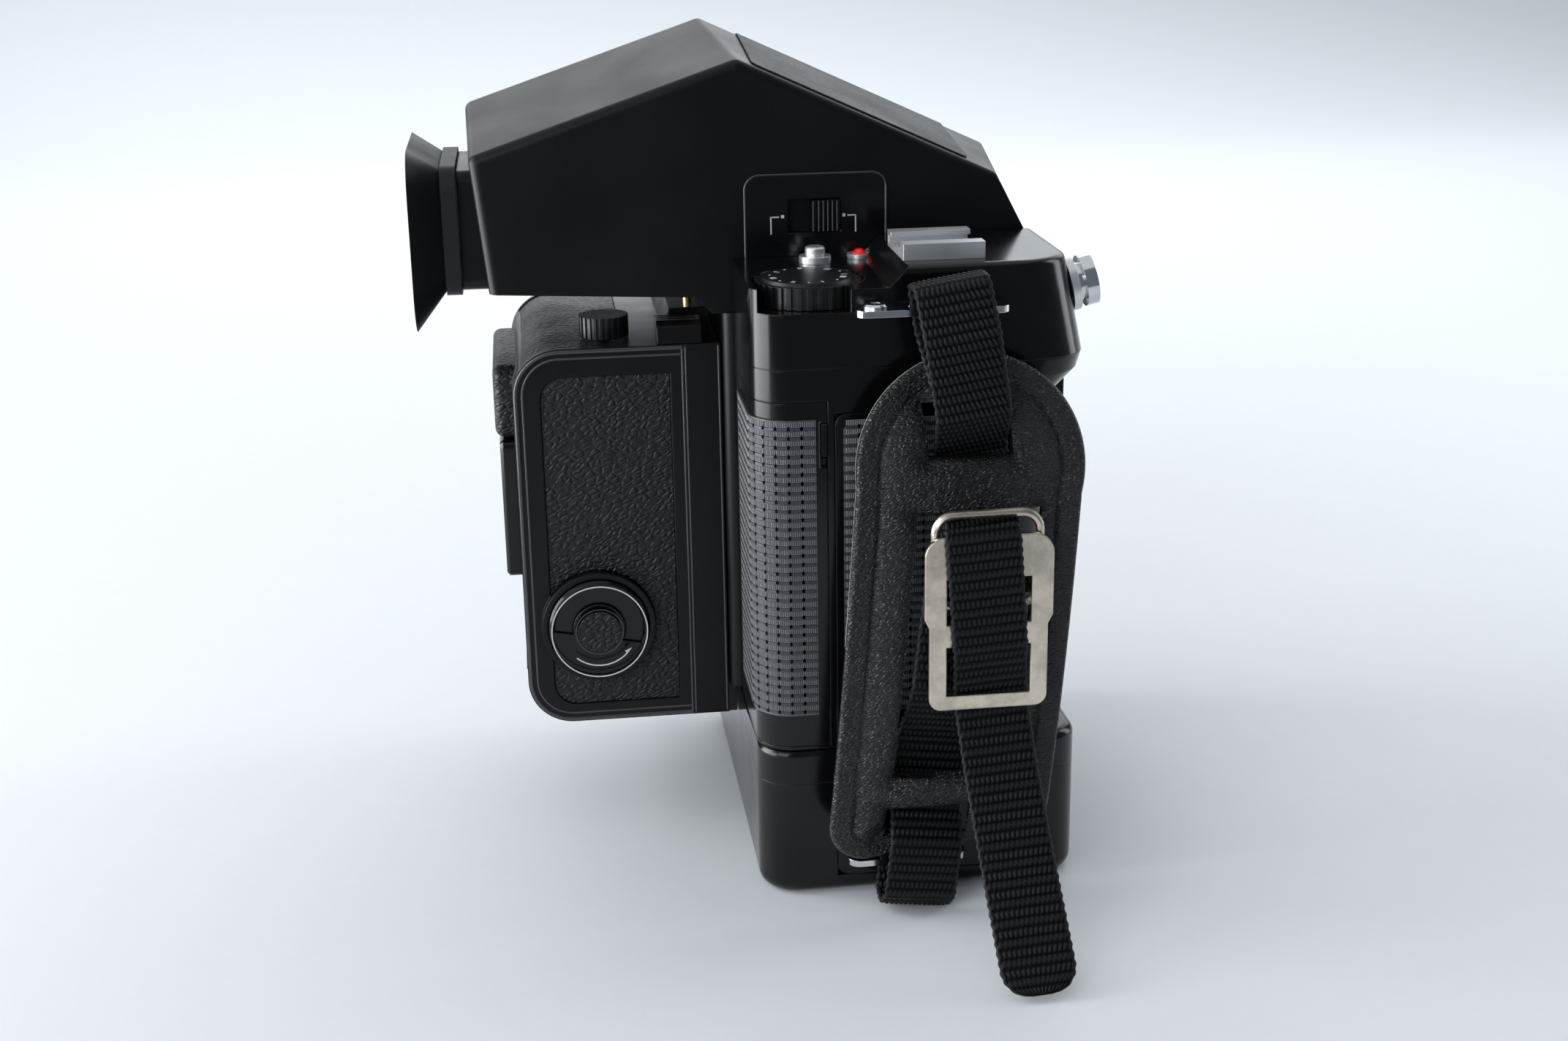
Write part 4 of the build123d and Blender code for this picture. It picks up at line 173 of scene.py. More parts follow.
FINISHES: dict[Slot, Finish] = {
    Slot.GLOSS: Finish("gloss_black", (0.0030, 0.0030, 0.0034), 0.17, specular=0.34,
                       edge_round=0.5),
    Slot.SATIN: Finish("satin_black", (0.0040, 0.0040, 0.0045), 0.34, specular=0.24,
                       grain=Grain.PAINT, grain_depth=0.010, edge_round=0.6),
    Slot.MATTE: Finish("matte_black", (0.008, 0.008, 0.0085), 0.6, specular=0.3,
                       grain=Grain.RUBBER, grain_depth=0.02),
    Slot.DIAL: Finish("dial_black", (0.005, 0.005, 0.0055), 0.36, specular=0.4,
                      grain=Grain.PAINT, grain_depth=0.008, edge_round=0.2),
    Slot.LEATHER: Finish("leatherette", (0.0075, 0.0075, 0.008), 0.46, specular=0.36,
                         grain=Grain.HIDE_COARSE, grain_depth=0.2),
    Slot.PAD: Finish("pad_leather", (0.0060, 0.0063, 0.0073), 0.31, grain=Grain.HIDE_SOFT,
                     grain_depth=0.2),
    Slot.RIBBED: Finish("ribbed_rubber", (0.078, 0.083, 0.089), 0.40, specular=0.8,
                        grain=Grain.RIBBED, grain_depth=0.05, edge_round=0.05, spread=0.8),
    Slot.EYECUP: Finish("eyecup_rubber", (0.0085, 0.0088, 0.0098), 0.5, specular=0.3,
                        grain=Grain.RUBBER, grain_depth=0.015, edge_round=0.4),
    Slot.WEBBING: Finish("webbing", (0.0115, 0.0117, 0.0125), 0.42, specular=0.11,
                         grain=Grain.WOVEN, grain_depth=0.04, edge_round=0.02, spread=0.9),
    Slot.CHROME: Finish("chrome", (0.66, 0.67, 0.69), 0.13, metallic=1.0),
    Slot.NICKEL: Finish("nickel", (0.66, 0.585, 0.485), 0.29, metallic=1.0, grain=Grain.WORN,
                        grain_depth=0.02, edge_round=0.5),
    Slot.STEEL: Finish("bare_steel", (0.45, 0.45, 0.46), 0.34, metallic=1.0,
                       grain=Grain.BRUSHED, grain_depth=0.004, spread=0.04),
    Slot.SLIDE: Finish("slide_steel", (0.52, 0.52, 0.53), 0.3, metallic=1.0,
                       grain=Grain.BRUSHED, grain_depth=0.004, spread=0.04),
    Slot.DARK_STEEL: Finish("steel_dark", (0.010, 0.010, 0.011), 0.3, grain=Grain.PAINT,
                            grain_depth=0.01),
    Slot.BRASS: Finish("brass", (0.72, 0.40, 0.16), 0.22, metallic=1.0, grain=Grain.BRUSHED,
                       grain_depth=0.01),
    Slot.MIRROR: Finish("mirror_silver", (0.86, 0.86, 0.87), 0.03, metallic=1.0,
                        edge_round=0.1),
    Slot.FROSTED: Finish("frosted_glass", (0.62, 0.64, 0.63), 0.5, transmission=0.5,
                         edge_round=0.1),
    Slot.CLEAR: Finish("clear_glass", (0.10, 0.12, 0.13), 0.04, coat=0.5, edge_round=0.15),
    Slot.RED: Finish("red_lens", (0.68, 0.004, 0.012), 0.14, coat=0.4, emission=0.35),
    Slot.LABEL: Finish("cell_label", (0.03, 0.03, 0.034), 0.3, grain=Grain.PAINT,
                       grain_depth=0.005),
    Slot.SPOOL: Finish("spool_plastic", (0.012, 0.012, 0.013), 0.35, grain=Grain.PAINT,
                       grain_depth=0.01),
}

FINE_LEATHER = Finish("fine_leatherette", (0.010, 0.010, 0.0108), 0.44, specular=0.4,
                      grain=Grain.HIDE_FINE, grain_depth=0.09)
WHITE_MARK = Finish("white_mark", (0.66, 0.67, 0.69), 0.5, edge_round=0.02)
SILVER_LINE = Finish("silver_line", (0.66, 0.67, 0.66), 0.25, metallic=1.0, edge_round=0.03)
RAW_HIDE = Finish("raw_hide", (0.50, 0.52, 0.48), 0.85, grain=Grain.RUBBER, grain_depth=0.2,
                  edge_round=0.1)
SATIN_SILVER = Finish("satin_silver", (0.74, 0.75, 0.765), 0.36, metallic=0.85,
                      grain=Grain.BRUSHED, grain_depth=0.01)
# Grey lighter than the black paint, for thin bright edge lines
BRIGHT_EDGE = Finish("bright_edge", (0.05, 0.052, 0.056), 0.24, metallic=0.25, specular=0.8,
                   edge_round=0.05)
# Near-black flat ovals at the rubber's pits: painted shade
PIT_SHADE = Finish("pit_shade", (0.002, 0.002, 0.002), 0.8, specular=0.1, edge_round=0.02)
THREAD_BLACK = Finish("black_thread", (0.005, 0.005, 0.005), 0.6, grain=Grain.THREAD,
                      grain_depth=0.05)
FLOOR_PAPER = Finish("floor_paper", (0.80, 0.82, 0.845), 0.7, specular=0.2, edge_round=0.0,
                     spread=0.012)

# Speckle of the plain grains: noise per metre along each axis, and its detail
SPECKLES: dict[Grain, tuple[Triple, float]] = {
    Grain.PLAIN: ((160.0, 160.0, 160.0), 5.0),
    Grain.PAINT: ((3400.0, 3400.0, 3400.0), 2.0),
    Grain.RUBBER: ((2600.0, 2600.0, 2600.0), 3.0),
    Grain.BRUSHED: ((300.0, 5000.0, 5000.0), 3.0),
    Grain.WORN: ((420.0, 420.0, 420.0), 8.0),
    Grain.THREAD: ((900.0, 2600.0, 4200.0), 2.0),
}
# Leathers: cells per metre along each axis, how far they wander, and the width of a crease
HIDES: dict[Grain, tuple[Triple, float, float]] = {
    Grain.HIDE_COARSE: ((430.0, 430.0, 820.0), 0.0016, 0.30),
    Grain.HIDE_FINE: ((1150.0, 1150.0, 1150.0), 0.0005, 0.24),
    Grain.HIDE_SOFT: ((620.0, 620.0, 2100.0), 0.0011, 0.28),
}
COAT_ROUGHNESS = 0.08
LEAST_ROUND = 0.001
LEAST_DEPTH = 0.004


class NodeGraph:
    """Thin wrapper that adds and joins shader nodes."""

    def __init__(self, material: bpy.types.Material) -> None:
        """Clears the material's tree and keeps hold of it.

        Args:
            material: The material to fill.
        """
        material.use_nodes = True
        self.tree = material.node_tree
        self.tree.nodes.clear()

    def feed(self, entry: Socket, value: object) -> None:
        """Joins an input to an output socket, or sets it to a plain value.

        Args:
            entry: The input.
            value: The socket or value.
        """
        if isinstance(value, Socket):
            self.tree.links.new(value, entry)
        else:
            entry.default_value = value

    def add(self, kind: str, inputs: dict | None = None, **settings: object) -> bpy.types.Node:
        """Adds one node.

        Args:
            kind: Blender's node type name.
            inputs: Values or output sockets by input name or number.
            **settings: Attributes set on the node itself.

        Returns:
            The new node.
        """
        node = self.tree.nodes.new(kind)
        for key, value in settings.items():
            setattr(node, key, value)
        for key, value in (inputs or {}).items():
            self.feed(node.inputs[key], value)
        return node

    def math(self, operation: str, *values: Socket | float) -> Socket:
        """Adds one math node.

        Args:
            operation: The math operation.
            *values: One to three values or sockets; those left out are 0.

        Returns:
            The node's output.
        """
        node = self.add("ShaderNodeMath", operation=operation)
        for entry, value in zip(node.inputs, (*values, 0.0, 0.0)):
            self.feed(entry, value)
        return node.outputs[0]

    def noise(self, place: Socket, scale: float, detail: float, roughness: float = 0.5) -> Socket:
        """Adds one noise texture.

        Args:
            place: Where it is read.
            scale: Its scale.
            detail: Its detail.
            roughness: Its roughness.

        Returns:
            Its height, about 0 to 1.
        """
        return self.add("ShaderNodeTexNoise", {"Vector": place, "Scale": scale, "Detail": detail,
                                               "Roughness": roughness}).outputs[0]


class FinishShop:
    """Makes one material per finish and hands out the same one again."""

    def __init__(self) -> None:
        """Starts with no materials."""
        self.made: dict[str, bpy.types.Material] = {}

    def material(self, finish: Finish) -> bpy.types.Material:
        """Gets the material of a finish.

        Args:
            finish: The look wanted.

        Returns:
            The procedural material.
        """
        if finish.name not in self.made:
            self.made[finish.name] = self._build(finish)
        return self.made[finish.name]

    def _build(self, finish: Finish) -> bpy.types.Material:
        """Builds a finish: its structure, two tones, uneven gloss and rounded edges.

        Args:
            finish: The look wanted.

        Returns:
            The new material.
        """
        material = bpy.data.materials.new("look_" + finish.name)
        graph = NodeGraph(material)
        place = graph.add("ShaderNodeTexCoord").outputs["Object"]
        height, tone = self._grain(graph, finish.grain, place)
        shine = graph.add("ShaderNodeMapRange", {
            "Value": graph.noise(place, 55.0, 4.0), "From Min": 0.3, "From Max": 0.7,
            "To Min": finish.roughness * 0.86, "To Max": min(1.0, finish.roughness * 1.16)})
        dark, light = ((*(min(1.0, c * share) for c in finish.colour), 1.0)
                       for share in (1 - finish.spread, 1 + finish.spread))
        colour = graph.add("ShaderNodeMix", {"Factor": tone, 6: dark, 7: light}, data_type="RGBA")
        surface = graph.add("ShaderNodeBsdfPrincipled", {
            "Base Color": colour.outputs[2], "Roughness": shine.outputs[0],
            "Metallic": finish.metallic, "Specular IOR Level": finish.specular,
            "Coat Weight": finish.coat, "Coat Roughness": COAT_ROUGHNESS,
            "Transmission Weight": finish.transmission})
        if finish.emission:
            graph.feed(surface.inputs["Emission Color"], (*finish.colour, 1.0))
            graph.feed(surface.inputs["Emission Strength"], finish.emission)
        rounded = graph.add("ShaderNodeBevel",
                            {"Radius": max(LEAST_ROUND, finish.edge_round) * MM}, samples=4)
        bump = graph.add("ShaderNodeBump", {
            "Height": height, "Distance": max(finish.grain_depth, LEAST_DEPTH) * MM,
            "Strength": 1.0, "Normal": rounded.outputs[0]})
        graph.feed(surface.inputs["Normal"], bump.outputs[0])
        if finish.coat:
            graph.feed(surface.inputs["Coat Normal"], rounded.outputs[0])
        graph.add("ShaderNodeOutputMaterial", {"Surface": surface.outputs[0]})
        material.diffuse_color = (*finish.colour, 1.0)
        return material

    def _grain(self, graph: NodeGraph, grain: Grain, place: Socket) -> tuple[Socket, Socket]:
        """Builds the height and tone of a fine structure.

        Args:
            graph: Where the nodes go.
            grain: The structure.
            place: Object coordinates.

        Returns:
            The height and tone sockets, both from 0 to 1.
        """
        if grain in HIDES:
            return self._hide(graph, grain, place)
        if grain is Grain.RIBBED:
            return self._ribs(graph, place)
        if grain is Grain.WOVEN:
            # webbing: a mesh attribute paints sheen on the picks' crests and shade between them
            weave = graph.add("ShaderNodeAttribute", attribute_name=WEAVE_SHADE)
            return graph.noise(place, 3600.0, 2.0), weave.outputs["Fac"]
        stretch, detail = SPECKLES[grain]
        mapped = graph.add("ShaderNodeMapping", {"Vector": place, "Scale": stretch})
        speckle = graph.noise(mapped.outputs[0], 1.0, detail)
        if grain is not Grain.WORN:
            return speckle, speckle
        # worn metal: broad stains with sharper dark flecks
        stain = graph.noise(place, 130.0, 6.0, 0.7)
        fleck = graph.add("ShaderNodeMapRange",
                          {"Value": stain, "From Min": 0.36, "From Max": 0.56})
        tone = graph.math("MULTIPLY", fleck.outputs[0], graph.math("ADD", speckle, 0.35))
        return speckle, tone

    def _hide(self, graph: NodeGraph, grain: Grain, place: Socket) -> tuple[Socket, Socket]:
        """Builds leather: cells with creases between them, pulled out of line by noise.

        Args:
            graph: Where the nodes go.
            grain: Which of the leathers.
            place: Object coordinates.

        Returns:
            The height and tone sockets.
        """
        stretch, warp, crease = HIDES[grain]
        wander = graph.add("ShaderNodeTexNoise", {"Vector": place, "Scale": 260.0, "Detail": 2.0})
        offset = graph.add("ShaderNodeVectorMath", {0: wander.outputs["Color"], "Scale": warp},
                           operation="SCALE")
        moved = graph.add("ShaderNodeVectorMath", {0: place, 1: offset.outputs[0]},
                          operation="ADD").outputs[0]
        tilt = graph.add("ShaderNodeMapping", {"Vector": moved, "Rotation": (0.0, 0.3, 0.0)})
        mapped = graph.add("ShaderNodeMapping", {"Vector": tilt.outputs[0], "Scale": stretch})
        cells = graph.add("ShaderNodeTexVoronoi", {"Vector": mapped.outputs[0], "Scale": 1.0},
                          feature="DISTANCE_TO_EDGE")
        swell = graph.add("ShaderNodeMapRange",
                          {"Value": cells.outputs["Distance"], "From Min": 0.0, "From Max": crease},
                          interpolation_type="SMOOTHSTEP").outputs[0]
        if grain is Grain.HIDE_SOFT:
            lying = graph.add("ShaderNodeMapping",
                              {"Vector": moved, "Scale": (420.0, 420.0, 2300.0)})
            folds = graph.noise(lying.outputs[0], 1.0, 2.0)
            # Higher folds are coloured lighter: painted sheen along the pad's wrinkles
            return graph.math("MULTIPLY_ADD", folds, 1.6, swell), folds
        broad = graph.noise(place, 420.0, 3.0)
        fine = graph.noise(place, 3800.0, 2.0)
        height = graph.math("MULTIPLY_ADD", fine, 0.12,
                            graph.math("MULTIPLY_ADD", broad, 0.5, swell))
        # Cells pale and creases dark: painted shade in the creases
        return height, graph.math("MULTIPLY_ADD", swell, 0.6, 0.2)

    def _ribs(self, graph: NodeGraph, place: Socket) -> tuple[Socket, Socket]:
        """Builds the rubber's fine upright ribs, with pale ribbed rows and dark rows between.

        Args:
            graph: Where the nodes go.
            place: Object coordinates.

        Returns:
            The height and tone sockets.
        """
        split = graph.add("ShaderNodeSeparateXYZ", {"Vector": place})
        along = graph.math("SUBTRACT", split.outputs["X"], split.outputs["Y"])
        wave = graph.math("SINE", graph.math("MULTIPLY", along, 2 * math.pi / (ROW_RIB * MM)))
        height = graph.math("MULTIPLY_ADD", wave, 0.3, graph.noise(place, 2400.0, 3.0))
        first_row = (ROW_LOW + ROW_START * ROW_PITCH) * MM
        rise = graph.math("SUBTRACT", split.outputs["Z"], first_row)
        beat = graph.math("FRACT", graph.math("DIVIDE", rise, ROW_PITCH * MM))
        band = graph.math("LESS_THAN", beat, ROW_BAND)
        lip = graph.math("LESS_THAN", beat, ROW_LIP)
        # Rib crests coloured lighter and grooves darker: painted sheen and shade on the fine ribs
        ribbed = graph.math("MULTIPLY_ADD", wave, 0.14, 0.56)
        tone = graph.math("ADD", graph.math("MULTIPLY_ADD", band, ribbed, 0.06),
                          graph.math("MULTIPLY", lip, 0.34))
        return height, tone


SHOP = FinishShop()


def to_object(mesh: Mesh, name: str, smooth_angle: float) -> Piece:
    """Turns a bmesh in millimetres into an object in metres.

    Args:
        mesh: The bmesh, freed here.
        name: Name of the object.
        smooth_angle: Edges sharper than this many degrees stay sharp.

    Returns:
        The new object, linked to the scene.
    """
    bmesh.ops.scale(mesh, vec=(MM, MM, MM), verts=mesh.verts)
    bmesh.ops.recalc_face_normals(mesh, faces=mesh.faces)
    limit = math.radians(smooth_angle)
    for face in mesh.faces:
        face.smooth = True
    for edge in mesh.edges:
        if len(edge.link_faces) == 2:
            edge.smooth = edge.calc_face_angle(0.0) < limit
    data = bpy.data.meshes.new(name)
    mesh.to_mesh(data)
    mesh.free()
    obj = bpy.data.objects.new(name, data)
    bpy.context.scene.collection.objects.link(obj)
    return obj


def make_piece(mesh: Mesh, name: str, slot: Slot, body: str, finish: Finish | None = None,
               smooth_angle: float = 40.0) -> Piece:
    """Makes a piece with its material, from its own finish or its record slot's, and the body it
    rides on.

    Args:
        mesh: The bmesh, freed here.
        name: The piece's name.
        slot: The record's slot that it takes its finish from.
        body: The CAD body it moves with.
        finish: Its look, where it differs from the slot's.
        smooth_angle: Edges sharper than this many degrees stay sharp.

    Returns:
        The piece.
    """
    obj = to_object(mesh, name, smooth_angle)
    obj.data.materials.append(SHOP.material(finish or FINISHES[slot]))
    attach(obj, body)
    return obj


def grid_faces(mesh: Mesh, rows: Sequence[Sequence[bmesh.types.BMVert]], wrap: bool = False,
               skip: Callable[[int, int], bool] | None = None) -> None:
    """Joins rows of vertices with quads.

    Args:
        mesh: The bmesh that owns the vertices.
        rows: Rows of equal length.
        wrap: Whether the last column joins the first.
        skip: Says which cells, by row and column, stay open.
    """
    count = len(rows[0])
    for i in range(len(rows) - 1):
        for j in range(count if wrap else count - 1):
            if skip and skip(i, j):
                continue
            k = (j + 1) % count
            corners = (rows[i][j], rows[i][k], rows[i + 1][k], rows[i + 1][j])
            if len(set(corners)) == 4:
                mesh.faces.new(corners)


def close_ends(mesh: Mesh, rows: Sequence[Sequence[bmesh.types.BMVert]]) -> None:
    """Closes the first and the last of a tube's rings."""
    for ring in (rows[0], rows[-1]):
        mesh.faces.new(ring)


def lerp(a: float, b: float, t: float) -> float:
    """Value between two others, at 0 to 1."""
    return a + (b - a) * t


def smoothstep(low: float, high: float, x: float) -> float:
    """Eases from 0 at the low place to 1 at the high one."""
    t = min(1.0, max(0.0, (x - low) / (high - low)))
    return t * t * (3 - 2 * t)


def segment_distance(p: Pair, a: Pair, b: Pair) -> float:
    """Distance of a point from a segment in a plane.

    Args:
        p: The point.
        a: The segment's start.
        b: The segment's end.

    Returns:
        The distance.
    """
    dx, dy = b[0] - a[0], b[1] - a[1]
    t = ((p[0] - a[0]) * dx + (p[1] - a[1]) * dy) / max(1e-9, dx * dx + dy * dy)
    t = min(1.0, max(0.0, t))
    return math.hypot(p[0] - a[0] - t * dx, p[1] - a[1] - t * dy)


def loop_distance(p: Pair, loop: Sequence[Pair]) -> float:
    """Distance of a point from a closed outline."""
    return min(segment_distance(p, loop[i - 1], loop[i]) for i in range(len(loop)))


def round_corner(centre: Pair, radius: float, start: float, end: float,
                 steps: int = 10) -> list[Pair]:
    """Points of an arc from one angle to another, in degrees."""
    angles = [math.radians(lerp(start, end, n / steps)) for n in range(steps + 1)]
    return [(centre[0] + radius * math.cos(a), centre[1] + radius * math.sin(a)) for a in angles]


def rounded_route(points: Sequence[Pair], radius: float, step: float) -> list[Vector]:
    """Samples a route of straight runs with rounded bends at an even step.

    Args:
        points: Corners of the route.
        radius: Radius wanted at the bends.
        step: Length between samples.

    Returns:
        Points in the plane.
    """
    straight, cuts = 0.02, 12
    corners = [Vector(p) for p in points]
    dense = [corners[0]]
    for before, here, after in zip(corners, corners[1:], corners[2:]):
        back, ahead = (before - here), (after - here)
        angle = back.angle(ahead)
        if abs(math.pi - angle) < straight:
            continue
        reach = min(radius / math.tan(angle / 2), back.length * 0.48, ahead.length * 0.48)
        start = here + back.normalized() * reach
        end = here + ahead.normalized() * reach
        for n in range(cuts + 1):
            t = n / cuts
            dense.append(start * (1 - t) ** 2 + here * (2 * t * (1 - t)) + end * t ** 2)
    dense.append(corners[-1])
    lengths = [0.0]
    for a, b in zip(dense, dense[1:]):
        lengths.append(lengths[-1] + (b - a).length)
    samples, index = [], 0
    count = max(2, int(lengths[-1] / step))
    for n in range(count + 1):
        want = lengths[-1] * n / count
        while index < len(lengths) - 2 and lengths[index + 1] < want:
            index += 1
        span = max(1e-9, lengths[index + 1] - lengths[index])
        samples.append(dense[index].lerp(dense[index + 1], (want - lengths[index]) / span))
    return samples


def bead(mesh: Mesh, route: list[Pair], y: float, out: float, radius: float) -> None:
    """Adds a half-round bead along a route on a side face.

    Args:
        mesh: Where it goes.
        route: Points of distance along the camera and height.
        y: The face.
        out: Which way is outwards.
        radius: Radius of the bead.
    """
    arc = [math.pi * k / 6 for k in range(7)]
    rows = []
    for i, (x, z) in enumerate(route):
        x0, z0 = route[max(i - 1, 0)]
        x1, z1 = route[min(i + 1, len(route) - 1)]
        across = Vector((z1 - z0, 0.0, x0 - x1)).normalized()
        rows.append([mesh.verts.new(Vector((x, y, z)) + across * (radius * math.cos(a))
                                    + Vector((0.0, out * radius * 0.6 * math.sin(a), 0.0)))
                     for a in arc])
    grid_faces(mesh, rows, wrap=True)
    close_ends(mesh, rows)


@dataclass
class Webbing:
    """One strap of coarse nylon webbing along a route of distance out and height."""

    name: str
    node: str
    route: tuple[Pair, ...]
    centre_x: float
    reference_z: float
    lean: float
    width: float = 18.0
    thickness: float = 1.25
    bend: float = 2.2
    pick: float = 2.3
    picks_across: int = 15
    slant: float = 0.34
    relief: float = 0.42
    samples_per_pick: int = 8
    front_cells: int = 6
    back_cells: int = 3
    selvedge: float = 0.93
    edge_drop: float = 0.8
    sink: float = 0.55
    thinnest: float = 0.05
    sheen_from: float = 0.4
    sheen_to: float = 0.75
    middle_tone: float = 0.75
    pick_half: float = 0.46
    pick_ahead: float = 0.06
    scallop: float = 0.14
    tip_corner: float = 6.5
    rounded_tip: bool = False

    def build(self) -> Piece:
        """Builds the strap.

        Returns:
            The strap's object.
        """
        tilt = math.radians(self.lean)
        up = Vector((-math.sin(tilt), 0.0, math.cos(tilt)))
        across = Vector((math.cos(tilt), 0.0, math.sin(tilt)))
        out = Vector((0.0, -1.0, 0.0))
        origin = Vector((self.centre_x, GRIP_OUTER, self.reference_z))
        flat = [(o, (z - self.reference_z) / math.cos(tilt)) for o, z in self.route]
        step = self.pick / self.samples_per_pick
        line = rounded_route(flat, self.bend, step)
        mesh = bmesh.new()
        tone = mesh.verts.layers.float.new(WEAVE_SHADE)
        rings = []
        last = len(line) - 1
        for i, p in enumerate(line):
            ahead = line[min(i + 1, last)] - line[max(i - 1, 0)]
            aside = Vector((ahead.y, -ahead.x)).normalized()
            place = origin + out * p.x + up * p.y
            normal = out * aside.x + up * aside.y
            s = i * step
            half = self._half_width(s, (last - i) * step)
            ring = []
            for side, cells in ((1, self.picks_across * self.front_cells),
                                (-1, self.picks_across * self.back_cells)):
                for j in range(cells + 1):
                    u = (j / cells if side > 0 else 1 - j / cells) * 2 - 1
                    weave = self._weave(s, u)
                    lift = self.thickness / 2 * (1 - abs(u) ** 12 * self.edge_drop)
                    lift += weave * self.relief - self.relief * self.sink
                    vert = mesh.verts.new(place + across * (u * half)
                                          + normal * (max(lift, self.thinnest) * side))
                    # Painted sheen and shade: pick crests coloured pale, hollows between them dark,
                    # dimmer across the middle than on the selvedges
                    vert[tone] = smoothstep(self.sheen_from, self.sheen_to, weave)
                    vert[tone] *= self.middle_tone if abs(u) < self.selvedge else 1.0
                    ring.append(vert)
            rings.append(ring)
        grid_faces(mesh, rings, wrap=True)
        close_ends(mesh, rings)
        return make_piece(mesh, self.name, Slot.WEBBING, "camera", smooth_angle=70.0)

    def _half_width(self, s: float, left: float) -> float:
        """Half width at a place along the strap, with a scalloped selvedge.

        Args:
            s: Length from the start.
            left: Length still to go.

        Returns:
            The half width.
        """
        half = self.width / 2 + self.scallop * math.sin(2 * math.pi * s / self.pick)
        corner = self.tip_corner
        if self.rounded_tip and left < corner:
            half -= corner - math.sqrt(max(0.0, corner ** 2 - (corner - left) ** 2))
        return half

    def _weave(self, s: float, u: float) -> float:
        """Height of the weave: rows of slanted oval picks, every second row set over by half.

        Args:
            s: Length along the strap.
            u: Place across it, from -1 to 1.

        Returns:
            The height, from 0 to 1.
        """
        past = abs(u) - self.selvedge
        if past > 0:
            twist = math.sin(2 * math.pi * (s / (self.pick * 0.5) + 3.2 * past))
            return 0.45 + 0.5 * abs(twist) ** 0.7
        row = s / self.pick
        best = 0.0
        for number in (math.floor(row) - 1, math.floor(row), math.floor(row) + 1):
            t = row - number - 0.5
            column = (u + 1) / 2 * self.picks_across + 0.5 * (number % 2) + self.slant * t
            r = column - math.floor(column) - 0.5
            best = max(best, 1 - (r / self.pick_half) ** 2
                       - ((t + self.pick_ahead) / self.pick_half) ** 2)
        return math.sqrt(best)


STRAPS = (
    Webbing("upper_webbing", "webbing_upper",
            ((15.9, 84), (15.9, 91), (7.1, 104.5), (6.8, 118.8), (18.5, 130), (18.0, 148),
             (13.5, 160), (5.0, 160), (5.0, 149), (16.4, 138.5)),
            5.0, 151.8, 8.5),
    Webbing("lower_webbing", "webbing_lower",
            ((17.9, 96), (17.9, 62), (8.0, 45), (7.2, 31), (16.2, 20), (16.0, 6), (11.5, 1.7),
             (4.7, 2.3), (4.7, 19)),
            -2.9, 11.0, -6.5),
    Webbing("tail_webbing", "strap_tail",
            ((20.3, 95), (20.3, 103.7), (23.8, 103.7), (23.8, 74), (20.5, 63), (20.5, 57),
             (27, 44), (40, 26), (60, 1.8)),
            12.8, 60.0, 4.2, rounded_tip=True),
)


@dataclass
class FrayedTip:
    """Loose fibres round the cut end of the strap's tail."""

    centre: Triple = (17.0, GRIP_OUTER - 59.0, 2.6)
    half_width: float = 7.5
    curve: float = 4.2
    rise: float = 2.6
    count: int = 150
    shortest: float = 0.4
    longest: float = 1.9
    thick: float = 0.07
    lowest: float = 0.4
    seed: int = 7

    def build(self) -> Piece:
        """Builds the fibres.

        Returns:
            The fibres' object.
        """
        rng = random.Random(self.seed)
        mesh = bmesh.new()
        for _ in range(self.count):
            u = rng.uniform(-1, 1)
            root = Vector(self.centre) + Vector((
                u * self.half_width,
                self.curve * abs(u) ** 2 + rng.uniform(-0.3, 0.3),
                self.rise * abs(u) ** 2 + rng.uniform(-0.4, 0.4)))
            aim = Vector((u * 0.7 + rng.uniform(-0.5, 0.5), -0.9, rng.uniform(-0.35, 0.35)))
            aim.normalize()
            tip = root + aim * rng.uniform(self.shortest, self.longest)
            tip.z = max(tip.z, self.lowest)
            side = aim.cross(Vector((0, 0, 1))).normalized() * self.thick
            ring = [mesh.verts.new(root + way) for way in (side, -side, side.cross(aim))]
            top = mesh.verts.new(tip)
            for k in range(3):
                mesh.faces.new((ring[k], ring[(k + 1) % 3], top))
            mesh.faces.new(ring)
        return make_piece(mesh, "tail_fibres", Slot.WEBBING, "camera")


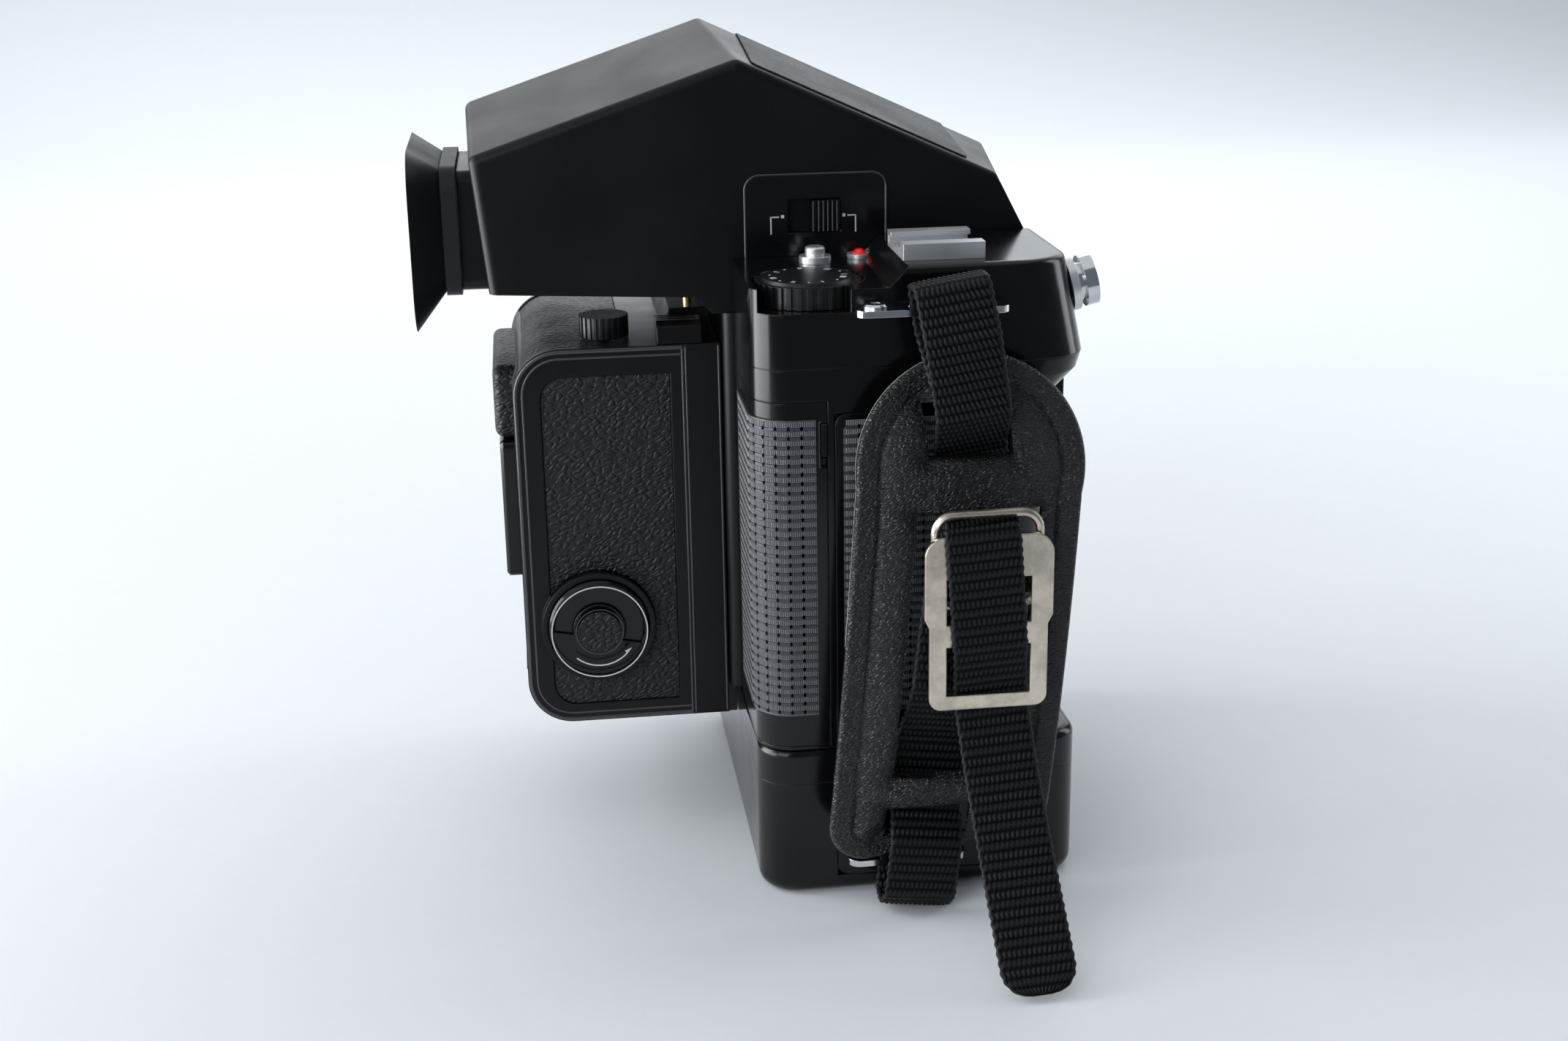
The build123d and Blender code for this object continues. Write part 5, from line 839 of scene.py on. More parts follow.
@dataclass
class HandPad:
    """Padded leather hand rest: a thin stitched border round a crowned, slotted middle."""

    low_left: Pair = (-26.5, 13.5)
    low_right: Pair = (29.0, 21.0)
    high_right: Pair = (36.3, 108.0)
    crest: Pair = (7.0, 142.5)
    high_left: Pair = (-18.2, 112.0)
    corner: float = 9.0
    back_bottom: float = 8.5
    back_middle: float = 12.5
    back_top: float = 4.5
    flange: float = 2.0
    crown: float = 2.6
    border: float = 5.7
    groove: float = 0.45
    groove_wide: float = 0.34
    rim_share: float = 0.45
    rim_ease: float = 1.1
    crown_reach: float = 6.5
    dimple: float = 0.9
    dimple_reach: float = 3.2
    lip: float = 0.5
    lip_reach: float = 0.6
    corner_dip: float = 0.7
    corner_reach: float = 3.5
    ripple: float = 0.10
    thinnest: float = 1.0
    back_ease: float = 0.8
    back_round: float = 0.5
    back_puff: float = 0.9
    stitch_pitch: float = 3.3
    stitch: Triple = (0.26, 0.26, 1.15)
    windows: tuple[tuple[Pair, ...], ...] = (
        ((-12.2, 21.0), (8.8, 21.0), (9.8, 29.0), (-11.4, 29.0)),
        ((-10.2, 37.5), (19.0, 37.5), (26.5, 105.0), (-3.8, 105.0)),
        ((-0.9, 118.0), (19.4, 118.0), (18.2, 131.0), (-2.4, 131.0)),
    )
    rows: int = 190
    edge_cells: int = 26
    window_cells: int = 30
    arc_cuts: int = 72
    corner_cuts: int = 12
    outline: list[Pair] = field(default_factory=list)

    def build(self) -> list[Piece]:
        """Builds the pad, its raw edge and its stitches.

        Returns:
            The objects, with the pad first.
        """
        self.outline = self._outline()
        heights = self._row_heights()
        mesh = bmesh.new()
        fronts, backs = [], []
        for z in heights:
            places = self._row_places(z)
            fronts.append([mesh.verts.new(self._front(x, z)) for x in places])
            backs.append([mesh.verts.new(self._back(x, z)) for x in places])
        first, last = self.edge_cells, self.edge_cells + self.window_cells
        spans = [(w[0][1], w[2][1]) for w in self.windows]

        def open_cell(i: int, j: int) -> bool:
            """Whether a cell lies in one of the slots."""
            middle = (heights[i] + heights[i + 1]) / 2
            return first <= j < last and any(low < middle < high for low, high in spans)

        def wall(path: list[tuple[int, int]]) -> None:
            """Joins face and back along a path.

            Args:
                path: Rows and columns, each beside the one before.
            """
            for (i, j), (k, m) in zip(path, path[1:]):
                corners = (fronts[i][j], fronts[k][m], backs[k][m], backs[i][j])
                if len(set(corners)) == 4 and mesh.faces.get(corners) is None:
                    mesh.faces.new(corners)

        grid_faces(mesh, fronts, skip=open_cell)
        grid_faces(mesh, backs, skip=open_cell)
        edges = [(range(len(heights)), range(len(fronts[0])))]
        for low, high in spans:
            inside = [i for i, z in enumerate(heights) if low - 1e-6 <= z <= high + 1e-6]
            edges.append((inside, range(first, last + 1)))
        for up, along in edges:
            for j in (along[0], along[-1]):
                wall([(i, j) for i in up])
            for i in (up[0], up[-1]):
                wall([(i, j) for j in along])
        bmesh.ops.remove_doubles(mesh, verts=mesh.verts, dist=0.01)
        pad = make_piece(mesh, "leather_pad", Slot.PAD, "camera", smooth_angle=55.0)
        return [pad, self._raw_edge(), self._stitches()]

    def _outline(self) -> list[Pair]:
        """Samples the outline: an arc on top, straight sides and two rounded corners below.

        Returns:
            Corners of the outline.
        """
        (ax, ay), (bx, by), (cx, cy) = self.high_right, self.crest, self.high_left
        a2, b2, c2 = ax ** 2 + ay ** 2, bx ** 2 + by ** 2, cx ** 2 + cy ** 2
        d = 2 * (ax * (by - cy) + bx * (cy - ay) + cx * (ay - by))
        ux = (a2 * (by - cy) + b2 * (cy - ay) + c2 * (ay - by)) / d
        uy = (a2 * (cx - bx) + b2 * (ax - cx) + c2 * (bx - ax)) / d
        start = math.atan2(ay - uy, ax - ux)
        end = math.atan2(cy - uy, cx - ux)
        if end < start:
            end += 2 * math.pi
        radius = math.hypot(ax - ux, ay - uy)
        turns = [lerp(start, end, n / self.arc_cuts) for n in range(self.arc_cuts + 1)]
        loop = [(ux + radius * math.cos(a), uy + radius * math.sin(a)) for a in turns]
        low_left, low_right = Vector(self.low_left), Vector(self.low_right)
        for here, before, after in ((low_left, Vector(self.high_left), low_right),
                                    (low_right, low_left, Vector(self.high_right))):
            back, ahead = (before - here).normalized(), (after - here).normalized()
            angle = back.angle(ahead)
            reach = self.corner / math.tan(angle / 2)
            middle = here + (back + ahead).normalized() * (self.corner / math.sin(angle / 2))
            begin, finish = here + back * reach - middle, here + ahead * reach - middle
            turn = begin.angle_signed(finish)
            for n in range(self.corner_cuts + 1):
                rotated = begin.copy()
                rotated.rotate(Matrix.Rotation(-turn * n / self.corner_cuts, 2))
                loop.append((middle.x + rotated.x, middle.y + rotated.y))
        return loop

    def _row_heights(self) -> list[float]:
        """Heights of the mesh's rows, closer together near the ends and exact at the slots.

        Returns:
            The heights from bottom to top.
        """
        low = min(p[1] for p in self.outline) + 0.02
        high = max(p[1] for p in self.outline) - 0.02
        stops = [low, *sorted(w[k][1] for w in self.windows for k in (0, 2)), high]
        heights = [low]
        for a, b in zip(stops, stops[1:]):
            count = max(4, round(self.rows * (b - a) / (high - low)))
            heights += [a + (b - a) * n / count for n in range(1, count + 1)]
        ends = []
        for n in range(1, 9):
            ends += [low + (heights[1] - low) * (n / 9) ** 2,
                     high - (high - heights[-2]) * (n / 9) ** 2]
        return sorted(set(heights + ends))

    def _sides(self, z: float) -> Pair:
        """Left and right edge of the outline at a height.

        Args:
            z: The height.

        Returns:
            The two places.
        """
        cuts = []
        for i, (x1, z1) in enumerate(self.outline):
            x0, z0 = self.outline[i - 1]
            if (z0 - z) * (z1 - z) <= 0 and z0 != z1:
                cuts.append(x0 + (x1 - x0) * (z - z0) / (z1 - z0))
        return min(cuts), max(cuts)

    def _window_sides(self, z: float) -> Pair:
        """Left and right line of the slots at a height, carried on between them.

        Args:
            z: The height.

        Returns:
            The two places.
        """
        marks = sorted((w[k][1], w[m][0], w[n][0])
                       for w in self.windows for k, m, n in ((0, 0, 1), (2, 3, 2)))
        if z <= marks[0][0]:
            return marks[0][1:]
        for (z0, l0, r0), (z1, l1, r1) in zip(marks, marks[1:]):
            if z <= z1:
                t = (z - z0) / max(1e-9, z1 - z0)
                return lerp(l0, l1, t), lerp(r0, r1, t)
        return marks[-1][1:]

    def _row_places(self, z: float) -> list[float]:
        """Places of one row's vertices, closer together at the pad's edges.

        Args:
            z: The row's height.

        Returns:
            The places from left to right.
        """
        left, right = self._sides(z)
        inner_left, inner_right = self._window_sides(z)
        width = right - left
        inner_left = min(max(inner_left, left + 0.12 * width), right - 0.5 * width)
        inner_right = max(min(inner_right, right - 0.12 * width), inner_left + 0.1 * width)
        n, m, ease = self.edge_cells, self.window_cells, 1.25
        row = [lerp(left, inner_left, (i / n) ** ease) for i in range(n)]
        row += [lerp(inner_left, inner_right, i / m) for i in range(m)]
        return row + [lerp(right, inner_right, ((n - i) / n) ** ease) for i in range(n + 1)]

    def _bend(self, z: float) -> float:
        """Distance of the pad's back from the grip at a height: an arc through three places.

        Args:
            z: The height.

        Returns:
            The distance.
        """
        z0, z1, z2 = 0.0, (self.low_left[1] + self.crest[1]) / 2, self.crest[1] + 4
        a, b, c = self.back_bottom, self.back_middle, self.back_top
        return (a * (z - z1) * (z - z2) / ((z0 - z1) * (z0 - z2))
                + b * (z - z0) * (z - z2) / ((z1 - z0) * (z1 - z2))
                + c * (z - z0) * (z - z1) / ((z2 - z0) * (z2 - z1)))

    def _rounding(self, edge: float, reach: float) -> float:
        """Quarter circle from 0 at the pad's edge to 1 at the reach."""
        return math.sqrt(max(0.0, 1 - (1 - min(1.0, edge / reach)) ** 2))

    def _front(self, x: float, z: float) -> Vector:
        """Point of the pad's face: border, groove, crowned middle and dimples at the slots.

        Args:
            x: Place across.
            z: Height.

        Returns:
            The point.
        """
        edge = loop_distance((x, z), self.outline)
        past = edge - self.border
        face = self.flange * lerp(self.rim_share, 1.0, self._rounding(edge, self.rim_ease))
        if past > 0:
            face += self.crown * (1 - math.exp(-past / self.crown_reach))
        face -= self.groove * math.exp(-(past / self.groove_wide) ** 2)
        nearest = min(loop_distance((x, z), w) for w in self.windows)
        face -= self.dimple * math.exp(-nearest / self.dimple_reach)
        face -= self.lip * math.exp(-nearest / self.lip_reach)
        corner = min(math.hypot(x - cx, z - cz) for w in self.windows for cx, cz in w)
        face -= self.corner_dip * math.exp(-(corner / self.corner_reach) ** 2)
        face += self.ripple * math.sin(z * 0.9 + 0.35 * x) * smoothstep(2.0, 9.0, past)
        return Vector((x, GRIP_OUTER - self._bend(z) - max(face, self.thinnest), z))

    def _back(self, x: float, z: float) -> Vector:
        """Point of the pad's back, a little puffed and rounded off at the edge.

        Args:
            x: Place across.
            z: Height.

        Returns:
            The point.
        """
        edge = loop_distance((x, z), self.outline)
        inward = self.back_round * (1 - self._rounding(edge, self.back_ease))
        puff = self.back_puff * smoothstep(3.0, 9.0, edge)
        return Vector((x, GRIP_OUTER - self._bend(z) - inward + puff, z))

    def _raw_edge(self) -> Piece:
        """Builds the pale raw edge of the hide along the upper left.

        Returns:
            The object.
        """
        places = [p for p in self.outline[:self.arc_cuts + 1] if p[0] < 9.0]
        places += [(lerp(self.high_left[0], self.low_left[0], t),
                    lerp(self.high_left[1], self.low_left[1], t))
                   for t in (0.08, 0.16, 0.24, 0.32, 0.40)]
        mesh = bmesh.new()
        rows = []
        last = len(places) - 1
        for n, (x, z) in enumerate(places):
            before, after = places[max(0, n - 1)], places[min(last, n + 1)]
            along = Vector((after[0] - before[0], after[1] - before[1])).normalized()
            fade = smoothstep(0, 5, n) * smoothstep(0, 7, last - n)
            out = GRIP_OUTER - self._bend(z)
            ring = []
            for k in range(6):
                push = (0.10 + 0.28 * fade) * math.sin(math.pi * k / 5)
                depth = lerp(0.15, self.flange * 0.72, k / 5) * (0.35 + 0.65 * fade)
                ring.append(mesh.verts.new((x - along.y * push, out - depth,
                                            z + along.x * push)))
            rows.append(ring)
        grid_faces(mesh, rows)
        return make_piece(mesh, "pad_raw_edge", Slot.PAD, "camera", RAW_HIDE, 60.0)

    def _stitches(self) -> Piece:
        """Builds the row of stitches in the pad's groove.

        Returns:
            The object.
        """
        mesh = bmesh.new()
        inset = [Vector(p) for p in self._inset_loop(self.border)]
        shape = Matrix.Diagonal((*self.stitch, 1.0))
        walked, target = 0.0, self.stitch_pitch / 2
        for a, b in zip([inset[-1], *inset], inset):
            length = (b - a).length
            while target <= walked + length and length > 0:
                spot = a.lerp(b, (target - walked) / length)
                along = (b - a).normalized()
                turn = Vector((0, 0, 1)).rotation_difference(Vector((along.x, 0, along.y)))
                place = Matrix.Translation(self._front(spot.x, spot.y) - Vector((0, 0.02, 0)))
                bmesh.ops.create_uvsphere(mesh, u_segments=6, v_segments=5, radius=1.0,
                                          matrix=place @ turn.to_matrix().to_4x4() @ shape)
                target += self.stitch_pitch
            walked += length
        return make_piece(mesh, "pad_stitches", Slot.PAD, "camera", THREAD_BLACK)

    def _inset_loop(self, inset: float) -> list[Pair]:
        """Outline moved inwards.

        Args:
            inset: How far.

        Returns:
            Corners of the new outline.
        """
        loop = []
        count = len(self.outline)
        for i, (x, z) in enumerate(self.outline):
            before, after = Vector(self.outline[i - 1]), Vector(self.outline[(i + 1) % count])
            along = (after - before).normalized()
            loop.append((x - along.y * inset, z + along.x * inset))
        return loop


@dataclass
class BrickRubber:
    """Rubber facing: rows of small bars between ribbed bands, wrapped round the grip's corner."""

    low: float = ROW_LOW
    rows: int = 33
    flat_end: float = -26.6
    corner_x: float = -32.0
    corner_y: float = -75.0
    corner_radius: float = 9.6
    rear_end: float = -53.0
    panel_start: float = -19.0
    panel_stand: float = 0.6
    panel_length: float = 34.0
    bar: float = 3.15
    slot: float = 0.5
    rib: float = ROW_RIB
    relief: float = 0.32
    band_relief: float = 0.2
    bar_span: Pair = (0.06, 0.40)
    band_span: Pair = (0.38, 0.99)
    pit_height: float = 0.28
    pit_wide: float = 0.8
    pit_tall: float = 1.1
    pit_sides: int = 8
    ease: float = 0.12

    def build(self) -> list[Piece]:
        """Builds the bars, and then the pits' painted shade, of the battery cover and of the side
        panel.

        Returns:
            The four objects.
        """
        faces = (("cover", self._on_cover, self._cover_length(), "battery_cover"),
                 ("panel", self._on_panel, self.panel_length, "camera"))
        return [make(*face) for make in (self._bars, self._pit_shades) for face in faces]

    def _cover_length(self) -> float:
        """Length of the cover's facing, from the front edge to the rear face."""
        return ((self.flat_end - self.corner_x) + self.corner_radius * math.pi / 2
                + (self.rear_end - self.corner_y))

    def _on_panel(self, s: float, z: float, lift: float) -> Vector:
        """Place on the flat side panel."""
        return Vector((self.panel_start + s, GRIP_OUTER - self.panel_stand - lift, z))

    def _on_cover(self, s: float, z: float, lift: float) -> Vector:
        """Place on the cover: s runs from the front edge round the corner to the rear face.

        Args:
            s: Length along the surface.
            z: Height.
            lift: Distance off the surface.

        Returns:
            The point.
        """
        flat = self.flat_end - self.corner_x
        arc = self.corner_radius * math.pi / 2
        reach = self.corner_radius + lift
        if s < flat:
            return Vector((self.flat_end - s, self.corner_y - reach, z))
        if s < flat + arc:
            turn = (s - flat) / self.corner_radius
            return Vector((self.corner_x - reach * math.sin(turn),
                           self.corner_y - reach * math.cos(turn), z))
        return Vector((self.corner_x - reach, self.corner_y + (s - flat - arc), z))

    def _bars(self, name: str, surface: Surface, length: float, body: str) -> Piece:
        """Builds a facing row by row: a finely ribbed band, and below it a ledge of bars.

        Args:
            name: First word of the object's name.
            surface: Puts a place on the surface.
            length: Length of the surface.
            body: The CAD body it moves with.

        Returns:
            The object.
        """
        mesh = bmesh.new()
        columns = int(length / self.bar)
        for row in range(self.rows):
            z = self.low + row * ROW_PITCH
            band = [z + part * ROW_PITCH for part in self.band_span]
            bar = [z + part * ROW_PITCH for part in self.bar_span]
            self._band(mesh, surface, columns * self.bar, *band)
            for column in range(columns):
                s = column * self.bar
                self._slab(mesh, surface, s + self.slot / 2, s + self.bar - self.slot / 2, *bar)
        return make_piece(mesh, name + "_bars", Slot.RIBBED, body, smooth_angle=25.0)

    def _pit_shades(self, name: str, surface: Surface, length: float, body: str) -> Piece:
        """Builds flat black ovals at the ends of the bars: painted shade where the pits are.

        Args:
            name: First word of the object's name.
            surface: Puts a place on the surface.
            length: Length of the surface.
            body: The CAD body it moves with.

        Returns:
            The object.
        """
        mesh = bmesh.new()
        half, tall = self.pit_wide / 2, self.pit_tall / 2
        angles = [2 * math.pi * (n + 0.5) / self.pit_sides for n in range(self.pit_sides)]
        for row in range(self.rows):
            z = self.low + (row + self.pit_height) * ROW_PITCH
            for column in range(1, int(length / self.bar)):
                s = column * self.bar
                mesh.faces.new([
                    mesh.verts.new(surface(s + half * math.cos(a), z + tall * math.sin(a),
                                           self.band_relief + 0.03)) for a in angles])
        bmesh.ops.solidify(mesh, geom=mesh.faces[:], thickness=0.05)
        return make_piece(mesh, name + "_pit_shades", Slot.RIBBED, body, PIT_SHADE, 60.0)

    def _band(self, mesh: Mesh, surface: Surface, length: float, z0: float, z1: float) -> None:
        """Adds one band of fine upright ribs.

        Args:
            mesh: Where it goes.
            surface: Puts a place on the surface.
            length: How far it runs.
            z0: Lower height.
            z1: Upper height.
        """
        steps = int(length / self.rib) * 4
        rows = []
        for n in range(steps + 1):
            s = length * n / steps
            beat = s % self.bar
            lift = self.band_relief if n % 4 in (1, 2) else self.band_relief * 0.35
            if min(beat, self.bar - beat) < self.ease:
                lift = 0.02
            rows.append([mesh.verts.new(surface(s, z, up)) for z, up in (
                (z0, 0.0), (z0 + 0.06, lift), (z1 - 0.10, lift), (z1, 0.0))])
        grid_faces(mesh, rows)
        close_ends(mesh, rows)

    def _slab(self, mesh: Mesh, surface: Surface, s0: float, s1: float, z0: float,
              z1: float) -> None:
        """Adds one low bar with sloped sides that follows the surface.

        Args:
            mesh: Where it goes.
            surface: Puts a place on the surface.
            s0: Start along the surface.
            s1: End along the surface.
            z0: Lower height.
            z1: Upper height.
        """
        rows = []
        for s, top in ((s0, 0.0), (s0 + self.ease, self.relief), (s1 - self.ease, self.relief),
                       (s1, 0.0)):
            rows.append([mesh.verts.new(surface(s, z, up)) for z, up in (
                (z0, 0.0), (z0 + self.ease * 1.4, top), (z1 - self.ease, top), (z1, 0.0))])
        grid_faces(mesh, rows)


@dataclass
class Marks:
    """Printed and inlaid marks: dial strokes, selector brackets, knob rings and arrow."""

    dial_centre: Triple = (-25.6, -68.5, 157.72)
    dial_ring: float = 9.2
    dial_marks: int = 15
    stroke: Pair = (1.5, 0.28)
    stroke_pitch: float = 0.55
    stroke_shift: float = 0.4
    dot: float = 0.3
    print_thick: float = 0.06
    bracket_y: float = -39.86
    bracket_foot: float = 162.9
    bracket_line: float = 0.32
    brackets: tuple[Triple, ...] = ((-27.9, -30.9, 167.1), (-12.3, -9.3, 167.0))
    knob_centre: Triple = (-78.6, -43.95, 60.0)
    inlay_thick: float = 0.08
    ring: Pair = (12.55, 0.34)
    fine_ring: Pair = (6.2, 0.22)
    disc_radius: float = 5.6
    disc_thick: float = 0.3
    arrow_radius: float = 9.4
    arrow_start: float = 228.0
    arrow_end: float = 318.0
    arrow_line: float = 0.34

    def build(self) -> list[Piece]:
        """Builds all marks.

        Returns:
            The objects.
        """
        return [self._dial(), self._brackets(),
                self._knob_ring("knob_ring", *self.ring, SILVER_LINE), self._knob_arrow(),
                self._knob_disc(), self._knob_ring("knob_fine_ring", *self.fine_ring, BRIGHT_EDGE)]

    def _strip(self, mesh: Mesh, place: Matrix, size: Triple) -> None:
        """Adds one thin flat bar."""
        bmesh.ops.create_cube(mesh, size=1.0, matrix=place @ Matrix.Diagonal((*size, 1.0)))

    def _dial(self) -> Piece:
        """Builds the dial's marks: short strokes, pairs of strokes and dots round the cap.

        Returns:
            The object.
        """
        mesh = bmesh.new()
        for n in range(self.dial_marks):
            angle = math.radians(360 * n / self.dial_marks)
            turn = Matrix.Translation(self.dial_centre) @ Matrix.Rotation(angle, 4, "Z")
            if n % 2:
                bmesh.ops.create_cone(mesh, cap_ends=True, segments=12, radius1=self.dot,
                                      radius2=self.dot, depth=self.print_thick,
                                      matrix=turn @ Matrix.Translation((self.dial_ring, 0, 0)))
                continue
            for k in range(1 + n % 3):
                spot = Matrix.Translation((self.dial_ring - self.stroke_shift,
                                           self.stroke_pitch * k - self.stroke_shift, 0))
                self._strip(mesh, turn @ spot, (*self.stroke, self.print_thick))
        return make_piece(mesh, "dial_marks", Slot.DIAL, "mode_dial", WHITE_MARK)

    def _brackets(self) -> Piece:
        """Builds the two corner brackets and dots beside the slider.

        Returns:
            The object.
        """
        mesh = bmesh.new()
        thick, line, foot = self.print_thick, self.bracket_line, self.bracket_foot
        for spot_x, leg_x, top in self.brackets:
            inner = spot_x + math.copysign(0.9, leg_x - spot_x)
            for x, z, size in (
                    ((inner + leg_x) / 2, top, (abs(leg_x - inner), thick, line)),
                    (leg_x, (top + foot) / 2, (line, thick, top - foot + 0.3)),
                    (spot_x, top + 0.1, (0.8, thick, 0.8))):
                self._strip(mesh, Matrix.Translation((x, self.bracket_y, z)), size)
        return make_piece(mesh, "selector_marks", Slot.GLOSS, "prism_finder", WHITE_MARK)

    def _arc(self, mesh: Mesh, radius: float, wide: float, start: float, end: float) -> None:
        """Adds a thin flat arc round the knob's axis.

        Args:
            mesh: Where it goes.
            radius: Middle radius.
            wide: Width of the line.
            start: First angle in degrees.
            end: Last angle in degrees.
        """
        cx, cy, cz = self.knob_centre
        near, far, top = radius - wide / 2, radius + wide / 2, cy - self.inlay_thick
        steps = max(6, int(abs(end - start) / 4))
        rows = []
        for n in range(steps + 1):
            a = math.radians(lerp(start, end, n / steps))
            rows.append([mesh.verts.new((cx + r * math.cos(a), y, cz + r * math.sin(a)))
                         for r, y in ((near, cy), (near, top), (far, top), (far, cy))])
        grid_faces(mesh, rows, wrap=True)
        close_ends(mesh, rows)

    def _knob_ring(self, name: str, radius: float, wide: float, finish: Finish) -> Piece:
        """Builds one ring on the winding knob.

        Args:
            name: The object's name.
            radius: Middle radius.
            wide: Width of the line.
            finish: Its look.

        Returns:
            The object.
        """
        mesh = bmesh.new()
        for start in (0, 180):
            self._arc(mesh, radius, wide, start, start + 180)
        return make_piece(mesh, name, Slot.GLOSS, "film_wind", finish)

    def _knob_disc(self) -> Piece:
        """Builds the leather disc in the middle of the winding knob.

        Returns:
            The object.
        """
        mesh = bmesh.new()
        place = Matrix.Translation(self.knob_centre) @ Matrix.Rotation(math.pi / 2, 4, "X")
        bmesh.ops.create_cone(mesh, cap_ends=True, segments=40, radius1=self.disc_radius,
                              radius2=self.disc_radius, depth=self.disc_thick, matrix=place)
        return make_piece(mesh, "knob_disc", Slot.LEATHER, "film_wind")

    def _knob_arrow(self) -> Piece:
        """Builds the curved arrow that shows the winding way.

        Returns:
            The object.
        """
        mesh = bmesh.new()
        self._arc(mesh, self.arrow_radius, self.arrow_line, self.arrow_start, self.arrow_end)
        a = math.radians(self.arrow_end)
        side, ahead = Vector((math.cos(a), 0, math.sin(a))), Vector((-math.sin(a), 0, math.cos(a)))
        tip = Vector(self.knob_centre) + side * self.arrow_radius
        corners = (tip + ahead * 1.9, tip + side * 0.15, tip - side * 0.85)
        thick = Vector((0, self.inlay_thick, 0))
        grid = [[mesh.verts.new(c) for c in corners], [mesh.verts.new(c - thick) for c in corners]]
        grid_faces(mesh, grid, wrap=True)
        close_ends(mesh, grid)
        return make_piece(mesh, "knob_arrow", Slot.GLOSS, "film_wind", WHITE_MARK)


@dataclass
class PlateTrim:
    """Bright edges of the finder's side plate and of the battery cover's latch."""

    left: float = -37.7
    right: float = -1.2
    low: float = 150.0
    high: float = 178.0
    corner: float = 4.0
    face: float = -39.78
    radius: float = 0.28
    latch_x: float = -25.4
    latch_low: float = 114.0
    latch_high: float = 125.2
    latch_face: float = -83.96
    latch_hook: float = 0.3
    latch_radius: float = 0.2

    def build(self) -> list[Piece]:
        """Builds the edges.

        Returns:
            The two objects.
        """
        inner, r = self.radius, self.corner - self.radius
        left, right, high = self.left + inner, self.right - inner, self.high - inner
        plate, latch = bmesh.new(), bmesh.new()
        bead(plate, [(left, self.low), *round_corner((left + r, high - r), r, 180, 90),
                     *round_corner((right - r, high - r), r, 90, 0), (right, self.low + 12.0)],
             self.face, -1.0, self.radius)
        hook = self.latch_hook
        x = self.latch_x + hook
        bead(latch, [*round_corner((x, self.latch_high - hook), hook, 60, 180, 6),
                     *round_corner((x, self.latch_low + hook), hook, 180, 300, 6)],
             self.latch_face, -1.0, self.latch_radius)
        return [make_piece(plate, "side_plate_edge", Slot.GLOSS, "prism_finder", BRIGHT_EDGE, 60.0),
                make_piece(latch, "latch_slot_edge", Slot.GLOSS, "battery_cover", BRIGHT_EDGE, 60.0)]


@dataclass
class MagazineTrim:
    """Narrow beads that edge the magazine's sides, its leather and the joint behind its frame."""

    rear: float = -98.0
    front: float = -44.5
    joint: float = -54.2
    floor: float = 32.5
    top: float = 135.0
    corner: float = 12.0
    half: float = 38.0
    rim_inset: float = 0.75
    rim_bead: float = 0.5
    second_inset: float = 2.5
    second_bead: float = 0.3
    joint_bead: float = 0.28

    def build(self) -> list[Piece]:
        """Builds the beads of both sides.

        Returns:
            The two objects.
        """
        pieces = []
        for side, out in (("near", -1.0), ("far", 1.0)):
            mesh, y = bmesh.new(), out * self.half
            bead(mesh, self._outline(self.rim_inset), y, out, self.rim_bead)
            bead(mesh, self._outline(self.second_inset), y, out, self.second_bead)
            for x in (self.joint, self.joint + 0.9, self.front - 0.3):
                bead(mesh, [(x, self.floor + 0.6), (x, self.top - 0.6)], y, out, self.joint_bead)
            # Beads coloured lighter than the black paint: painted highlights along the rims and
            # joints
            pieces.append(make_piece(mesh, side + "_magazine_beads", Slot.GLOSS, "magazine",
                                     BRIGHT_EDGE, 60.0))
        return pieces

    def _outline(self, inset: float) -> list[Pair]:
        """Side outline from the joint over the top, down the rear and back along the floor.

        Args:
            inset: How far inside the edge.

        Returns:
            Points of distance back and height.
        """
        x, reach = self.rear + self.corner, self.corner - inset
        return [(self.joint, self.top - inset),
                *round_corner((x, self.top - self.corner), reach, 90, 180),
                *round_corner((x, self.floor + self.corner), reach, 180, 270),
                (self.joint, self.floor + inset)]


@dataclass
class FrameDresser:
    """Gives the CAD nodes their materials."""

    own_looks: dict[str, Finish] = field(default_factory=lambda: {
        "roof_covering": FINE_LEATHER,
        "control_collars": SATIN_SILVER,
        "check_button": SATIN_SILVER,
        "hot_shoe": SATIN_SILVER,
    })

    def dress(self, frame: dict) -> None:
        """Puts a procedural material on every CAD node.
        """
        slots = {part["node"]: part["material_slot"] for part in frame["record"]["subparts"]}
        for name, obj in frame["nodes"].items():
            finish = self.own_looks.get(name, FINISHES[Slot(slots[name])])
            obj.data.materials.clear()
            obj.data.materials.append(SHOP.material(finish))
            for polygon in obj.data.polygons:
                polygon.material_index = 0


@dataclass(frozen=True)
class SoftBox:
    """One soft lamp: place and aim in millimetres, width and height in metres, watts, colour."""

    name: str
    place: Triple
    aim: Triple
    wide: float
    tall: float
    power: float
    colour: Triple
    lights_matt: bool = True

    def hang(self) -> None:
        """Adds the lamp to the scene."""
        data = bpy.data.lights.new(self.name, "AREA")
        data.shape = "RECTANGLE"
        data.size, data.size_y = self.wide, self.tall
        data.energy = self.power
        data.color = self.colour
        lamp = bpy.data.objects.new(self.name, data)
        bpy.context.scene.collection.objects.link(lamp)
        place = Vector(self.place)
        lamp.location = place * MM
        lamp.rotation_euler = (Vector(self.aim) - place).to_track_quat("-Z", "Y").to_euler()
        lamp.visible_diffuse = self.lights_matt


